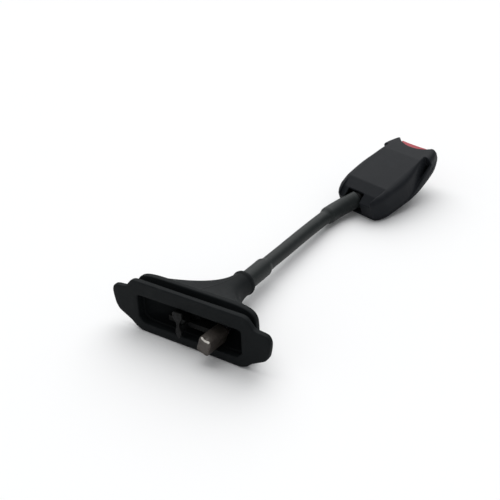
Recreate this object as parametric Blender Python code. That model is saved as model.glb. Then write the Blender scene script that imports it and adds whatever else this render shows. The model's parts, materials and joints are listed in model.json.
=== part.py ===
"""Seat belt buckle on a wire-rope stalk with a rubber boot, lying on a table.

Units are metres and +Z is up. +Y runs along the buckle head towards its tongue mouth, and
+X is to the right seen from behind the head. The head leans on its heel with its mouth up,
and the boot stands on the lower edge of its flange. The origin is on the table, under the
middle of the whole thing.
"""
import math

import bmesh
import bpy
import numpy as np
from mathutils import Matrix, Vector

# Pose of the two ends on the table
HEAD_PITCH = math.radians(14.4)
BOOT_LEAN = math.radians(5.4)
BOOT_TURN = math.radians(15.0)
HEAD_AHEAD = 0.2064
HEAD_ASIDE = 0.0141
HEEL_LENGTH = 0.0050

# Clearances
FACE_GAP = 0.0003
RUN_GAP = 0.0004

# Rubber boot
FLANGE_THICKNESS = 0.0040
FLANGE_HEIGHT = 0.0392
FLANGE_HALF = 0.0450
EAR_REACH = 0.0220
EAR_DROP = 0.0078
MOUTH_HALF = 0.0440
MOUTH_LOW = 0.0066
MOUTH_HIGH = 0.0284
MOUTH_CORNER = 0.0040
GROOVE_WIDTH = 0.0046
CORE_HALF = 0.0470
CORE_LOW = 0.0036
CORE_HIGH = 0.0352
LIP_HALF = 0.0505
LIP_LOW = 0.0010
LIP_HIGH = 0.0408
LIP_THICKNESS = 0.0044
LIP_RIDGE = 0.0020
LIP_ROUND = 0.0010
FUNNEL_LENGTH = 0.0470
FUNNEL_SIDE_CURVE = 2.3
FUNNEL_TOP_CURVE = 1.5
BEAD_RADIUS = 0.0088
BEAD_LENGTH = 0.0080
NECK_WALL = 0.0010
NECK_ASIDE = 0.0020
RUBBER_WALL = 0.0032

# Wire rope, its crimps and its sleeve
ROPE_RADIUS = 0.0038
CRIMP_WALL = 0.0012
LOWER_CRIMP_LENGTH = 0.0330
LOWER_CRIMP_INSET = 0.0020
SLEEVE_WALL = 0.0014
SLEEVE_STEP = 0.0060
SLEEVE_IN_BOOT = 0.0120
SLEEVE_TO_RIVET = 0.0131
ROPE_TO_RIVET = 0.0135
BARREL_TO_RIVET = 0.0105
CRIMP_TO_RIVET = 0.0445
ROPE_END_ROOM = 0.0010
# Course of the stalk: share of the way from neck to head, bow to the left, sag
STALK_COURSE = ((0.18, 0.0011, 0.0007), (0.47, 0.0025, 0.0010), (0.78, 0.0031, 0.0008))
STALK_STRAIGHT = 0.0181
STALK_RISE = 0.0010

# Anchor in the boot's mouth
FERRULE_WIDTH = 0.0096
FERRULE_HEIGHT = 0.0124
FERRULE_LENGTH = 0.0200
FERRULE_PROUD = 0.0102
FERRULE_ASIDE = 0.0212
FERRULE_UP = 0.0142
FERRULE_ROLL = math.radians(18.7)
FERRULE_BORE = 0.0130
FERRULE_CORNER = 0.0011
ANCHOR_THICKNESS = 0.0040
ANCHOR_LEFT = 0.0225
ANCHOR_FRONT = 0.0070
ANCHOR_DEPTH = 0.0132
ANCHOR_CORNER = 0.0040
ANCHOR_UP = 0.0112
ANCHOR_HOLE_RADIUS = 0.0042
HOOK_LEFT = 0.0062
HOOK_PROUD = 0.0031
HOOK_THICKNESS = 0.0020
HOOK_LOW = 0.0072
HOOK_TOP = 0.0268
HOOK_HEAD_HALF = 0.0040
HOOK_WAIST_HALF = 0.0010
HOOK_FOOT_HALF = 0.0023
HOOK_TIP_HALF = 0.0003
HOOK_ARM_HALF = 0.0012

# Buckle head covers
HEAD_LENGTH = 0.0775
PANEL_START = 0.0180
PANEL_HEIGHT = 0.0220
PANEL_HALF = 0.0204
HORN_TOP = 0.0204
TAIL_TOP = 0.0198
TAIL_ROUND = 0.0014
BROW_START = 0.0080
BROW_HEIGHT = 0.0192
BROW_TAIL_HALF = 0.0165
BROW_TAIL_HEIGHT = 0.0150
CHEEK_HEIGHT = 0.0212
HEAD_HALF = 0.0270
TAIL_HALF = 0.0192
MOUTH_END_HALF = 0.0216
SIDE_HALF = 0.0260
WAIST_HALF = 0.0203
SHOULDER = 0.0044
BOTTOM_ROUND = 0.0026
CHIN_ROUND = 0.0080
CHIN_RISE = 0.0050
RIM_HEIGHT = 0.0034
VALLEY_LENGTH = 0.0290
VALLEY_FLOOR = 0.0074
WING_HEIGHT = 0.0150
WING_WALL = 0.0022
COVER_WALL = 0.0018
SMALL_ROUND = 0.0008
HOLLOW_ROUND = 0.0016
PART_LINE = 0.0030
PART_LINE_MOUTH = 0.0118
CONCAVE_DEPTH = 0.0066
HORN_HALF = 0.0040
CABLE_PORT_LEFT = 0.0128
CABLE_PORT_RIGHT = 0.0044
CABLE_PORT_TOP = 0.0205
CABLE_PORT_LOW = 0.0036
# Distances back from the mouth's end of the head
PANEL_TO_MOUTH = 0.0180
COLLAR_TO_MOUTH = 0.0125
CHIN_TO_MOUTH = 0.0255
PORT_TO_MOUTH = 0.0175
HOLLOW_TO_MOUTH = 0.0080
CLIMB_START_TO_MOUTH = 0.0315
CLIMB_END_TO_MOUTH = 0.0055
FRAME_TO_MOUTH = 0.0155
BUTTON_TO_MOUTH = 0.0018

# Steel frame
FRAME_THICKNESS = 0.0022
FRAME_FLOOR = 0.0040
FRAME_HALF = 0.0142
FRAME_START = 0.0120
FRAME_CORNER = 0.0040
FLANGE_START = 0.0290
FLANGE_TO_END = 0.0050
FRAME_TOP = 0.0168
FRAME_ROUND = 0.0030
SPRING_TAB_START = 0.0262
SPRING_TAB_THICKNESS = 0.0022
SPRING_TAB_HALF = 0.0040
SPRING_EAR_START = 0.0175
SPRING_EAR_REACH = 0.0042
SPRING_EAR_DROP = 0.0010
RIVET_AHEAD = 0.0185
RIVET_RADIUS = 0.0030
RIVET_HEAD_RADIUS = 0.0048
RIVET_HEAD_HEIGHT = 0.0014
EYE_THICKNESS = 0.0030
EYE_HALF = 0.0078
EYE_END = 0.0065
EYE_CORNER = 0.0040
EYE_TURN = math.radians(-15.0)

# Latch, lock slide and ejector
PIN_AHEAD = 0.0330
PIN_UP = 0.0142
PIN_RADIUS = 0.0016
LATCH_THICKNESS = 0.0022
LATCH_HALF = 0.0050
LATCH_END = 0.0550
LATCH_DROP = 0.0006
LATCH_EAR_HALF = 0.0062
HOOK_LENGTH = 0.0042
HOOK_DROP = 0.0006
LATCH_EYE_WALL = 0.0010
LOCK_START = 0.0440
LOCK_LENGTH = 0.0040
LOCK_THICKNESS = 0.0015
LOCK_FLOOR = 0.0157
EJECTOR_START = 0.0440
EJECTOR_BRIDGE = 0.0040
EJECTOR_END = 0.0560
EJECTOR_GAP = 0.0006
EJECTOR_SLOT_HALF = 0.0056
EJECTOR_TOP = 0.0114
EJECTOR_BRIDGE_TOP = 0.0104

# Release button
BUTTON_HALF = 0.0134
BUTTON_FLOOR = 0.0126
BUTTON_TOP = 0.0196
BUTTON_BLOCK = 0.0088
BUTTON_BOW = 0.0004
BUTTON_TRAVEL = 0.0060
LEG_WIDTH = 0.0024
LEG_START = 0.0360
LEG_FLOOR = 0.0128
LEG_TOP = 0.0168
LEG_GAP = 0.0007
LEG_SHOULDER = 0.0022
SLOT_HALF = 0.0138
SLOT_FLOOR = 0.0062
SLOT_LEAD = 0.0030

# Springs
SPRING_WIRE = 0.00035
BUTTON_SPRING_RADIUS = 0.0013
BUTTON_SPRING_TURNS = 7
EJECTOR_SPRING_RADIUS = 0.0019
EJECTOR_SPRING_TURNS = 7
LATCH_SPRING_TURNS = 4

# How far cutters reach past what they cut, and how finely round forms are divided
CUT_ROOM = 0.0040
SECTION_POINTS = 56
ROPE_SIDES = 16
COVER_STATIONS = 22
STATION_SPACE = 0.0012


def add_material(name, colour, roughness, metallic):
    """Returns a Principled material of one plain colour."""
    material = bpy.data.materials.new(name)
    material.use_nodes = True
    shader = material.node_tree.nodes["Principled BSDF"]
    shader.inputs["Base Color"].default_value = (*colour, 1.0)
    shader.inputs["Roughness"].default_value = roughness
    shader.inputs["Metallic"].default_value = metallic
    return material


def place_object(name, mesh, parent, material=None, location=(0.0, 0.0, 0.0)):
    """Links a mesh to the scene as an object under its parent empty."""
    thing = bpy.data.objects.new(name, mesh)
    bpy.context.scene.collection.objects.link(thing)
    thing.parent = parent
    thing.location = location
    if material:
        mesh.materials.append(material)
    return thing


def add_empty(name, location, turn=(0.0, 0.0, 0.0), parent=None):
    """Adds an empty that carries a sub-assembly or marks a joint's axis."""
    empty = bpy.data.objects.new(name, None)
    bpy.context.scene.collection.objects.link(empty)
    empty.location = location
    empty.rotation_euler = turn
    empty.parent = parent
    return empty


def mesh_from(name, shape, smooth=True):
    """Turns a bmesh with outward faces into a mesh, round faces shaded smooth."""
    bmesh.ops.recalc_face_normals(shape, faces=shape.faces)
    mesh = bpy.data.meshes.new(name)
    shape.to_mesh(mesh)
    shape.free()
    if smooth:
        mesh.shade_smooth()
        mesh.set_sharp_from_angle(angle=math.radians(32.0))
    return mesh


def loft(name, rings):
    """Skins a run of rings with equal point counts and caps both ends."""
    shape = bmesh.new()
    rows = [[shape.verts.new(point) for point in ring] for ring in rings]
    count = len(rows[0])
    for low, high in zip(rows, rows[1:]):
        for k in range(count):
            shape.faces.new((low[k], low[(k + 1) % count], high[(k + 1) % count], high[k]))
    shape.faces.new(rows[0][::-1])
    shape.faces.new(rows[-1])
    return mesh_from(name, shape)


def closed_loft(name, rings):
    """Skins rings in a closed run, so that the last ring joins the first."""
    shape = bmesh.new()
    rows = [[shape.verts.new(point) for point in ring] for ring in rings]
    count = len(rows[0])
    for low, high in zip(rows, rows[1:] + rows[:1]):
        for k in range(count):
            shape.faces.new((low[k], low[(k + 1) % count], high[(k + 1) % count], high[k]))
    return mesh_from(name, shape)


def prism(name, outline, low, high, axis="z"):
    """Extrudes a flat outline along one axis from low to high."""
    place = {
        "x": lambda a, b, h: (h, a, b),
        "y": lambda a, b, h: (a, h, b),
        "z": lambda a, b, h: (a, b, h),
    }[axis]
    rings = [[place(a, b, h) for a, b in outline] for h in (low, high)]
    return loft(name, rings)


def block(name, x, y, z):
    """Makes a box from three (low, high) pairs."""
    return prism(name, [(x[0], y[0]), (x[1], y[0]), (x[1], y[1]), (x[0], y[1])], z[0], z[1])


def round_bar(name, radius, low, high, axis, centre=(0.0, 0.0), sides=32):
    """Makes a cylinder along one axis; the centre is given in the other two."""
    turns = [2.0 * math.pi * k / sides for k in range(sides)]
    outline = [(centre[0] + radius * math.cos(t), centre[1] + radius * math.sin(t)) for t in turns]
    return prism(name, outline, low, high, axis)


def carve(target, mesh, operation="DIFFERENCE"):
    """Adds a Boolean modifier with a hidden guide object that shares the target's parent."""
    guide = place_object(mesh.name + "_guide", mesh, target.parent)
    guide.hide_render = True
    guide.hide_viewport = False
    guide.display_type = "WIRE"
    change = target.modifiers.new(mesh.name, "BOOLEAN")
    change.operation = operation
    change.solver = "EXACT"
    change.object = guide
    return guide


def cubic_through(knots, values, at):
    """Evaluates the natural cubic spline through (knots, values) at the places asked for."""
    knots = np.asarray(knots, float)
    values = np.asarray(values, float)
    at = np.asarray(at, float)
    step = np.diff(knots)
    slope = (np.diff(values, axis=0).T / step).T
    count = len(knots)
    system = np.eye(count)
    right = np.zeros_like(values)
    for k in range(1, count - 1):
        system[k, k - 1:k + 2] = step[k - 1], 2.0 * (step[k - 1] + step[k]), step[k]
        right[k] = 6.0 * (slope[k] - slope[k - 1])
    bend = np.linalg.solve(system, right)
    k = np.clip(np.searchsorted(knots, at, side="right") - 1, 0, count - 2)
    near, far, width = at - knots[k], knots[k + 1] - at, step[k]
    if values.ndim > 1:
        near, far, width = near[:, None], far[:, None], width[:, None]
    curve = (bend[k] * far ** 3 + bend[k + 1] * near ** 3) / (6.0 * width)
    curve += (values[k] / width - bend[k] * width / 6.0) * far
    return curve + (values[k + 1] / width - bend[k + 1] * width / 6.0) * near


def ease(value):
    """Smooth step from 0 to 1 for values from 0 to 1."""
    value = np.clip(value, 0.0, 1.0)
    return value * value * (3.0 - 2.0 * value)


def rounded_section(half_x, half_z, squareness, centre_x, centre_z, y):
    """Superellipse ring across the boot's axis: |x/a|^n + |z/b|^n = 1."""
    turns = np.linspace(0.0, 2.0 * np.pi, SECTION_POINTS, endpoint=False)
    power = 2.0 / squareness
    x = centre_x + half_x * np.sign(np.cos(turns)) * np.abs(np.cos(turns)) ** power
    z = centre_z + half_z * np.sign(np.sin(turns)) * np.abs(np.sin(turns)) ** power
    return [(float(a), y, float(b)) for a, b in zip(x, z)]


def boot_depths():
    """Depths into the boot of its groove, lip, funnel end and neck end."""
    groove_end = FLANGE_THICKNESS + GROOVE_WIDTH
    lip_end = groove_end + LIP_THICKNESS
    funnel_end = lip_end + FUNNEL_LENGTH
    return groove_end, lip_end, funnel_end, funnel_end + BEAD_LENGTH


def crimped_sleeve_radius():
    """Outer radius of the sleeve where it covers a crimp."""
    return ROPE_RADIUS + FACE_GAP + CRIMP_WALL + FACE_GAP + SLEEVE_WALL


def funnel_rings(start_half, start_low, start_high, end_radius, depths, end_depth):
    """Rings of the trumpet from a wide rounded slot to a round neck."""
    lip_middle = 0.5 * (LIP_LOW + LIP_HIGH)
    start_middle = 0.5 * (start_low + start_high)
    start_half_height = 0.5 * (start_high - start_low)
    rings = []
    for depth in depths:
        share = np.clip((end_depth - depth) / FUNNEL_LENGTH, 0.0, 1.0)
        half_x = end_radius + (start_half - end_radius) * share ** FUNNEL_SIDE_CURVE
        half_z = end_radius + (start_half_height - end_radius) * share ** FUNNEL_TOP_CURVE
        height = lip_middle + (start_middle - lip_middle) * share ** FUNNEL_TOP_CURVE
        squareness = 2.0 + 4.0 * share ** 1.5
        aside = NECK_ASIDE * (1.0 - share)
        rings.append(rounded_section(half_x, half_z, squareness, aside, height, depth))
    return rings


def flange_outline():
    """Outline of the front flange with its two ears, drawn by the right half and mirrored."""
    base, top = FLANGE_HALF, FLANGE_HEIGHT
    tip = base + EAR_REACH
    ear_top = top - EAR_DROP
    right = [
        (base - 0.002, 0.0), (base + 0.003, 0.0022), (base + 0.0065, 0.0054), (base + 0.012, 0.0083),
        (tip - 0.0044, 0.0112), (tip - 0.0018, 0.0152), (tip - 0.0006, 0.0205), (tip, 0.0252),
        (tip - 0.0006, ear_top - 0.0032), (tip - 0.0024, ear_top - 0.0008), (tip - 0.0052, ear_top),
        (base + 0.0120, ear_top - 0.0004), (base + 0.0092, ear_top + 0.0006), (base + 0.0064, top - 0.0040),
        (base + 0.0040, top - 0.0012), (base + 0.0010, top),
    ]
    return right + [(-x, z) for x, z in reversed(right)]


def mouth_outline(grow=0.0):
    """Outline of the mouth opening: square above, with cut lower corners."""
    half, low, high, cut = MOUTH_HALF + grow, MOUTH_LOW - grow, MOUTH_HIGH + grow, MOUTH_CORNER
    small = 0.0012
    right = [(half - cut, low), (half, low + cut), (half, high - small), (half - small, high)]
    return right + [(-x, z) for x, z in reversed(right)]


def build_boot(boot, rubber):
    """Rubber boot: eared flange, groove, rear lip and a hollow trumpet with a bead at its neck."""
    groove_end, lip_end, funnel_end, neck_end = boot_depths()
    middle = 0.5 * (LIP_LOW + LIP_HIGH)
    lip_half_height = 0.5 * (LIP_HIGH - LIP_LOW)
    core_middle = 0.5 * (CORE_LOW + CORE_HIGH)
    core = (CORE_HALF, 0.5 * (CORE_HIGH - CORE_LOW), 8.0, 0.0, core_middle)
    rings = [rounded_section(*core, 0.5 * FLANGE_THICKNESS), rounded_section(*core, groove_end)]
    edge = LIP_ROUND
    for depth, trim in ((groove_end, edge), (groove_end + edge, 0.0), (lip_end - edge, 0.0), (lip_end, edge)):
        rings.append(rounded_section(LIP_HALF - trim, lip_half_height - trim, 6.0, 0.0, middle, depth))
    neck_radius = BEAD_RADIUS - NECK_WALL
    along = lip_end + FUNNEL_LENGTH * ease(np.linspace(0.0, 1.0, 15)[1:-1]) * 0.985
    rings += funnel_rings(LIP_HALF - LIP_RIDGE, LIP_LOW + LIP_RIDGE, LIP_HIGH - LIP_RIDGE, neck_radius, along,
                          funnel_end)
    for turn in np.linspace(0.0, math.pi, 7):
        depth = funnel_end + BEAD_LENGTH * 0.5 * (1.0 - math.cos(turn))
        radius = neck_radius + (BEAD_RADIUS - neck_radius) * math.sin(turn)
        rings.append(rounded_section(radius, radius, 2.0, NECK_ASIDE, middle, float(depth)))
    body = place_object("rubber_boot", loft("rubber_boot", rings), boot, rubber)
    carve(body, prism("boot_flange", flange_outline(), 0.0, FLANGE_THICKNESS, "y"), "UNION")

    hollow_half = CORE_HALF - RUBBER_WALL
    hollow_low, hollow_high = CORE_LOW + RUBBER_WALL, CORE_HIGH - RUBBER_WALL
    hollow_height = 0.5 * (hollow_high - hollow_low)
    hole_radius = crimped_sleeve_radius() + FACE_GAP
    inner_start = FLANGE_THICKNESS + 0.5 * GROOVE_WIDTH
    cavity = [rounded_section(hollow_half, hollow_height, 7.0, 0.0, core_middle, inner_start)]
    inner_end = funnel_end - RUBBER_WALL
    deep = np.linspace(lip_end, inner_end, 11)
    cavity += funnel_rings(hollow_half, hollow_low, hollow_high, hole_radius, deep, inner_end)
    carve(body, loft("boot_hollow", cavity))
    front = prism("boot_mouth", mouth_outline(), -0.002, inner_start + 0.001, "y")
    carve(body, front)
    bore = round_bar("boot_bore", hole_radius, inner_end - 0.004, neck_end + 0.002, "y", (NECK_ASIDE, middle))
    carve(body, bore)
    return body


def rope_route(boot, eye):
    """Centre line of the wire rope from its anchor ferrule through the boot to the head."""
    funnel_end, neck_end = boot_depths()[2:]
    middle = 0.5 * (LIP_LOW + LIP_HIGH)
    axis_up = head_cable_height()
    ferrule_back = FERRULE_LENGTH - FERRULE_PROUD
    near = [
        boot @ Vector((FERRULE_ASIDE, ferrule_back - FERRULE_BORE, FERRULE_UP)),
        boot @ Vector((FERRULE_ASIDE, ferrule_back - 0.5 * FERRULE_BORE, FERRULE_UP)),
        boot @ Vector((FERRULE_ASIDE, ferrule_back + 0.001, FERRULE_UP)),
        boot @ Vector((NECK_ASIDE + 0.0022, funnel_end - 0.017, middle - 0.0008)),
        boot @ Vector((NECK_ASIDE, funnel_end - 0.001, middle)),
        boot @ Vector((NECK_ASIDE, neck_end, middle)),
    ]
    far = [
        eye @ Vector((0.0, -BARREL_TO_RIVET - STALK_STRAIGHT, axis_up + STALK_RISE)),
        eye @ Vector((0.0, -BARREL_TO_RIVET, axis_up)),
    ]
    start, end = near[-1], far[0]
    left = Vector((0.0, 0.0, 1.0)).cross(end - start).normalized()
    between = []
    for share, bow, sag in STALK_COURSE:
        between.append(start.lerp(end, share) + left * bow - Vector((0.0, 0.0, sag)))
    points = np.array([tuple(point) for point in near + between + far])
    knots = np.concatenate([[0.0], np.cumsum(np.linalg.norm(np.diff(points, axis=0), axis=1))])
    fine = cubic_through(knots, points, np.linspace(0.0, knots[-1], 600))
    run = np.concatenate([[0.0], np.cumsum(np.linalg.norm(np.diff(fine, axis=0), axis=1))])
    return fine, run


def head_cable_height():
    """Height of the cable's axis above the head's underside."""
    return FRAME_FLOOR + FRAME_THICKNESS + FACE_GAP + ROPE_RADIUS + FACE_GAP + CRIMP_WALL


def sweep(line, run, stations, radii, sides=ROPE_SIDES):
    """Rings of given radii at given distances along the route, without twist."""
    rings = []
    centre = np.stack([np.interp(stations, run, line[:, k]) for k in range(3)], axis=1)
    ahead = np.stack([np.interp(np.asarray(stations) + 0.001, run, line[:, k]) for k in range(3)], axis=1)
    behind = np.stack([np.interp(np.asarray(stations) - 0.001, run, line[:, k]) for k in range(3)], axis=1)
    turns = np.linspace(0.0, 2.0 * np.pi, sides, endpoint=False)
    for point, tangent, radius in zip(centre, ahead - behind, radii):
        tangent = tangent / np.linalg.norm(tangent)
        across = np.cross(tangent, (0.0, 0.0, 1.0))
        across /= np.linalg.norm(across)
        upward = np.cross(across, tangent)
        ring = point + radius * (np.outer(np.cos(turns), across) + np.outer(np.sin(turns), upward))
        rings.append([tuple(map(float, corner)) for corner in ring])
    return rings


def tube_mesh(name, line, run, stations, inner, outer, sides=24):
    """Tube along the route with its own inner and outer radius at each station."""
    outside = sweep(line, run, stations, outer, sides)
    inside = sweep(line, run, stations, inner, sides)
    return closed_loft(name, outside + inside[::-1])


def distance_at(line, run, point):
    """Distance along the route of its place nearest to a point."""
    return float(run[np.argmin(np.linalg.norm(line - np.array(tuple(point)), axis=1))])


def build_cable(root, boot, eye, steel, sleeve_black):
    """Wire rope, the crimp at its lower end and the shrunk sleeve over both crimps."""
    neck_end = boot_depths()[3]
    middle = 0.5 * (LIP_LOW + LIP_HIGH)
    boot_place, eye_place = boot.matrix_world, eye.matrix_world
    line, run = rope_route(boot_place, eye_place)
    rivet_mark = float(run[-1]) + BARREL_TO_RIVET
    sleeve_end = rivet_mark - SLEEVE_TO_RIVET
    neck_mark = distance_at(line, run, boot_place @ Vector((NECK_ASIDE, neck_end, middle)))
    sleeve_start = neck_mark - SLEEVE_IN_BOOT

    def spread(start, end, spacing):
        """Evenly spaced stations, about the given spacing apart."""
        return np.linspace(start, end, max(2, round((end - start) / spacing) + 1))

    rope_end = rivet_mark - ROPE_TO_RIVET
    stations = spread(FACE_GAP, rope_end, 0.0070)
    rope = loft("wire_rope", sweep(line, run, stations, np.full(len(stations), ROPE_RADIUS)))
    place_object("wire_rope", rope, root, steel)

    crimp_inner = ROPE_RADIUS + FACE_GAP
    crimp_outer = crimp_inner + CRIMP_WALL
    lower_start = sleeve_start + LOWER_CRIMP_INSET
    lower_end = lower_start + LOWER_CRIMP_LENGTH
    stations = spread(lower_start, lower_end, 0.0080)
    crimp = tube_mesh("lower_crimp", line, run, stations, np.full(len(stations), crimp_inner),
                      np.full(len(stations), crimp_outer))
    place_object("lower_crimp", crimp, root, steel)

    upper_start = rivet_mark - CRIMP_TO_RIVET
    wide, thin = crimp_outer + FACE_GAP, crimp_inner
    stations = np.unique(np.concatenate([
        spread(sleeve_start, lower_end, 0.0070), spread(lower_end, lower_end + SLEEVE_STEP, 0.0015),
        spread(lower_end + SLEEVE_STEP, upper_start - SLEEVE_STEP, 0.0085),
        spread(upper_start - SLEEVE_STEP, upper_start, 0.0015), spread(upper_start, sleeve_end, 0.0060),
    ]).round(6))
    past_crimp = np.minimum(stations - lower_end, upper_start - stations)
    taper = 1.0 - past_crimp / SLEEVE_STEP
    inner = thin + (wide - thin) * ease(taper)
    sleeve = tube_mesh("cable_sleeve", line, run, stations, inner, inner + SLEEVE_WALL)
    place_object("cable_sleeve", sleeve, root, sleeve_black)
    return line, run, upper_start


def hook_outline():
    """Outline of the bracket's hook seen from the front: a wide head, a waist and a pointed foot."""
    tall = HOOK_TOP - HOOK_LOW
    knots = tall * np.array([0.0, 0.25, 0.54, 0.88, 1.0])
    halves = (HOOK_TIP_HALF, HOOK_FOOT_HALF, HOOK_WAIST_HALF, HOOK_HEAD_HALF, 0.85 * HOOK_HEAD_HALF)
    heights = np.linspace(0.0, tall, 15)
    right = [(float(x), HOOK_LOW + float(z)) for x, z in zip(cubic_through(knots, halves, heights), heights)]
    return right + [(-x, z) for x, z in reversed(right)]


def build_anchor(boot, steel, black_steel):
    """Pressed ferrule on the rope's lower end, and the black anchor plate with its hook beside it."""
    back = FERRULE_LENGTH - FERRULE_PROUD
    half, tall, cut = 0.5 * FERRULE_WIDTH, 0.5 * FERRULE_HEIGHT, FERRULE_CORNER
    right = [(half - cut, -tall), (half, -tall + cut), (half, tall - cut), (half - cut, tall)]
    outline = right + [(-x, z) for x, z in reversed(right)]
    pressed = prism("anchor_ferrule", outline, -FERRULE_PROUD, back, "y")
    ferrule = place_object("anchor_ferrule", pressed, boot, steel, (FERRULE_ASIDE, 0.0, FERRULE_UP))
    ferrule.rotation_euler = (0.0, FERRULE_ROLL, 0.0)
    hole_radius, hole_start = ROPE_RADIUS + FACE_GAP, back - FERRULE_BORE
    bore = carve(ferrule, round_bar("ferrule_bore", hole_radius, hole_start, back + CUT_ROOM, "y", sides=24))
    bore.location = ferrule.location

    reach = half * math.cos(FERRULE_ROLL) + tall * math.sin(FERRULE_ROLL)
    right_edge = FERRULE_ASIDE - reach - FACE_GAP
    left_edge = -ANCHOR_LEFT
    low, high = ANCHOR_UP, ANCHOR_UP + ANCHOR_THICKNESS
    rear, corner = ANCHOR_FRONT + ANCHOR_DEPTH, ANCHOR_CORNER
    plan = [
        (left_edge, ANCHOR_FRONT), (right_edge, ANCHOR_FRONT), (right_edge, rear - corner),
        (right_edge - corner, rear), (left_edge + corner, rear), (left_edge, rear - corner),
    ]
    plate = place_object("anchor_plate", prism("anchor_plate", plan, low, high), boot, black_steel)
    hook_back = -HOOK_PROUD + HOOK_THICKNESS
    arm = block("hook_arm", (-HOOK_LEFT - HOOK_ARM_HALF, -HOOK_LEFT + HOOK_ARM_HALF),
                (hook_back - 0.5 * HOOK_THICKNESS, ANCHOR_FRONT + 0.5 * ANCHOR_CORNER), (low, high))
    carve(plate, arm, "UNION")
    outline = [(x - HOOK_LEFT, z) for x, z in hook_outline()]
    carve(plate, prism("anchor_hook", outline, -HOOK_PROUD, hook_back, "y"), "UNION")
    hole_place = (0.5 * (left_edge + right_edge), ANCHOR_FRONT + 0.5 * ANCHOR_DEPTH)
    under, over = low - CUT_ROOM, high + CUT_ROOM
    carve(plate, round_bar("anchor_hole", ANCHOR_HOLE_RADIUS, under, over, "z", hole_place, 28))


def from_mouth(distance):
    """Place along the head that lies a distance back from its mouth's end."""
    return HEAD_LENGTH - distance


def cover_half(y):
    """Half width of the covers' outer edge along the head."""
    late = (from_mouth(0.0315), from_mouth(0.0175), from_mouth(0.0075), HEAD_LENGTH)
    knots = (0.0, 0.006, 0.012, 0.020, 0.032) + late
    wide, tail = HEAD_HALF, TAIL_HALF
    halves = (tail, tail + 0.42 * (wide - tail), tail + 0.64 * (wide - tail), wide - 0.0016, wide - 0.0003,
              wide, wide - 0.0006, wide - 0.0022, MOUTH_END_HALF)
    return cubic_through(knots, halves, y)


def cover_top(y):
    """Height of the covers' top line: tail, sloping brow, flat panel, then the falling collar."""
    knots = (0.0, BROW_START, PANEL_START, from_mouth(PANEL_TO_MOUTH), HEAD_LENGTH)
    return np.interp(y, knots, (TAIL_TOP, CHEEK_HEIGHT, PANEL_HEIGHT, PANEL_HEIGHT, HORN_TOP))


def cover_floor(y):
    """Height of the covers' underside: a heel that lies flat on the table and a raised chin."""
    heel = np.maximum(HEEL_LENGTH - y, 0.0) * math.tan(HEAD_PITCH)
    chin = CHIN_RISE * np.clip((y - from_mouth(CHIN_TO_MOUTH)) / CHIN_TO_MOUTH, 0.0, 1.0) ** 2
    return heel + chin


def valley_share(y):
    """Share of the way along the valley beside the body, up to the collar."""
    return float(np.clip(1.0 - (from_mouth(COLLAR_TO_MOUTH) - y) / VALLEY_LENGTH, 0.0, 1.0))


def bottom_round(y):
    """Radius of the covers' lower corners, which grows towards the mouth."""
    return BOTTOM_ROUND + (CHIN_ROUND - BOTTOM_ROUND) * float(ease(valley_share(y)))


def brow_height(y):
    """Height of the brow between the cheeks, from the tail up to the panel."""
    return float(np.interp(y, (0.0, BROW_START, PANEL_START), (BROW_TAIL_HEIGHT, BROW_HEIGHT, PANEL_HEIGHT)))


def side_half(y):
    """Half width of the upper body's side, inside the rim and the collar's wings."""
    collar = from_mouth(COLLAR_TO_MOUTH)
    knots = (-0.002, 0.008, 0.020, 0.034, collar - 0.017, collar - 0.005, collar)
    wide, waist = SIDE_HALF, WAIST_HALF
    halves = (TAIL_HALF - 0.0010, wide - 0.0022, wide - 0.0004, wide, wide - 0.35 * (wide - waist),
              waist + 0.10 * (wide - waist), waist)
    return cubic_through(knots, halves, np.minimum(y, collar))


def arc_corner(centre, radius, start, end, steps):
    """Points of a round corner between two angles in degrees."""
    turns = np.radians(np.linspace(start, end, steps))
    return [(centre[0] + radius * math.cos(t), centre[1] + radius * math.sin(t)) for t in turns]


def cover_ring(y, inset=0.0):
    """Cross-section of the covers' envelope: flat floor and top with rounded corners."""
    half = float(cover_half(y)) - inset
    low = float(cover_floor(y)) + 0.5 * inset
    high = float(cover_top(y)) - inset
    low_round = min(max(bottom_round(y) - 0.5 * inset, SMALL_ROUND), 0.5 * (high - low))
    high_round = min(max(SHOULDER - inset, SMALL_ROUND), 0.4 * (high - low))
    right = arc_corner((half - low_round, low + low_round), low_round, -90, 0, 4)
    right += arc_corner((half - high_round, high - high_round), high_round, 0, 90, 6)
    points = right + [(-x, z) for x, z in reversed(right)]
    return [(x, float(y), z) for x, z in points]


def side_cutter_ring(y, side):
    """Cross-section of what lies outside the upper body: beside its wall, over rim and wings."""
    share = valley_share(y)
    valley = RIM_HEIGHT + (VALLEY_FLOOR - RIM_HEIGHT) * float(ease(share * 3.0))
    wing = RIM_HEIGHT + (WING_HEIGHT - RIM_HEIGHT) * share
    wall = float(side_half(y))
    top = float(cover_top(max(y, 0.0)))
    panel = min(PANEL_HALF, wall - 0.0010)
    edge = float(cover_half(max(y, 0.0))) - WING_WALL * float(ease(share * 4.0))
    edge = max(edge, wall + 0.0006)
    turn_height = top - min(SHOULDER, wall - panel + 0.0014)
    shoulder = [(wall - (wall - panel) * (1.0 - math.cos(t)), turn_height + (top - turn_height) * math.sin(t))
                for t in np.linspace(0.0, 0.5 * math.pi, 5)]
    outer = HEAD_HALF + CUT_ROOM
    high = PANEL_HEIGHT + CUT_ROOM
    beyond = [(panel, high), (outer, high), (outer, wing), (edge, wing)]
    points = [(wall + 0.0002, valley)] + shoulder + beyond
    return [(side * x, float(y), z) for x, z in points]


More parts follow.
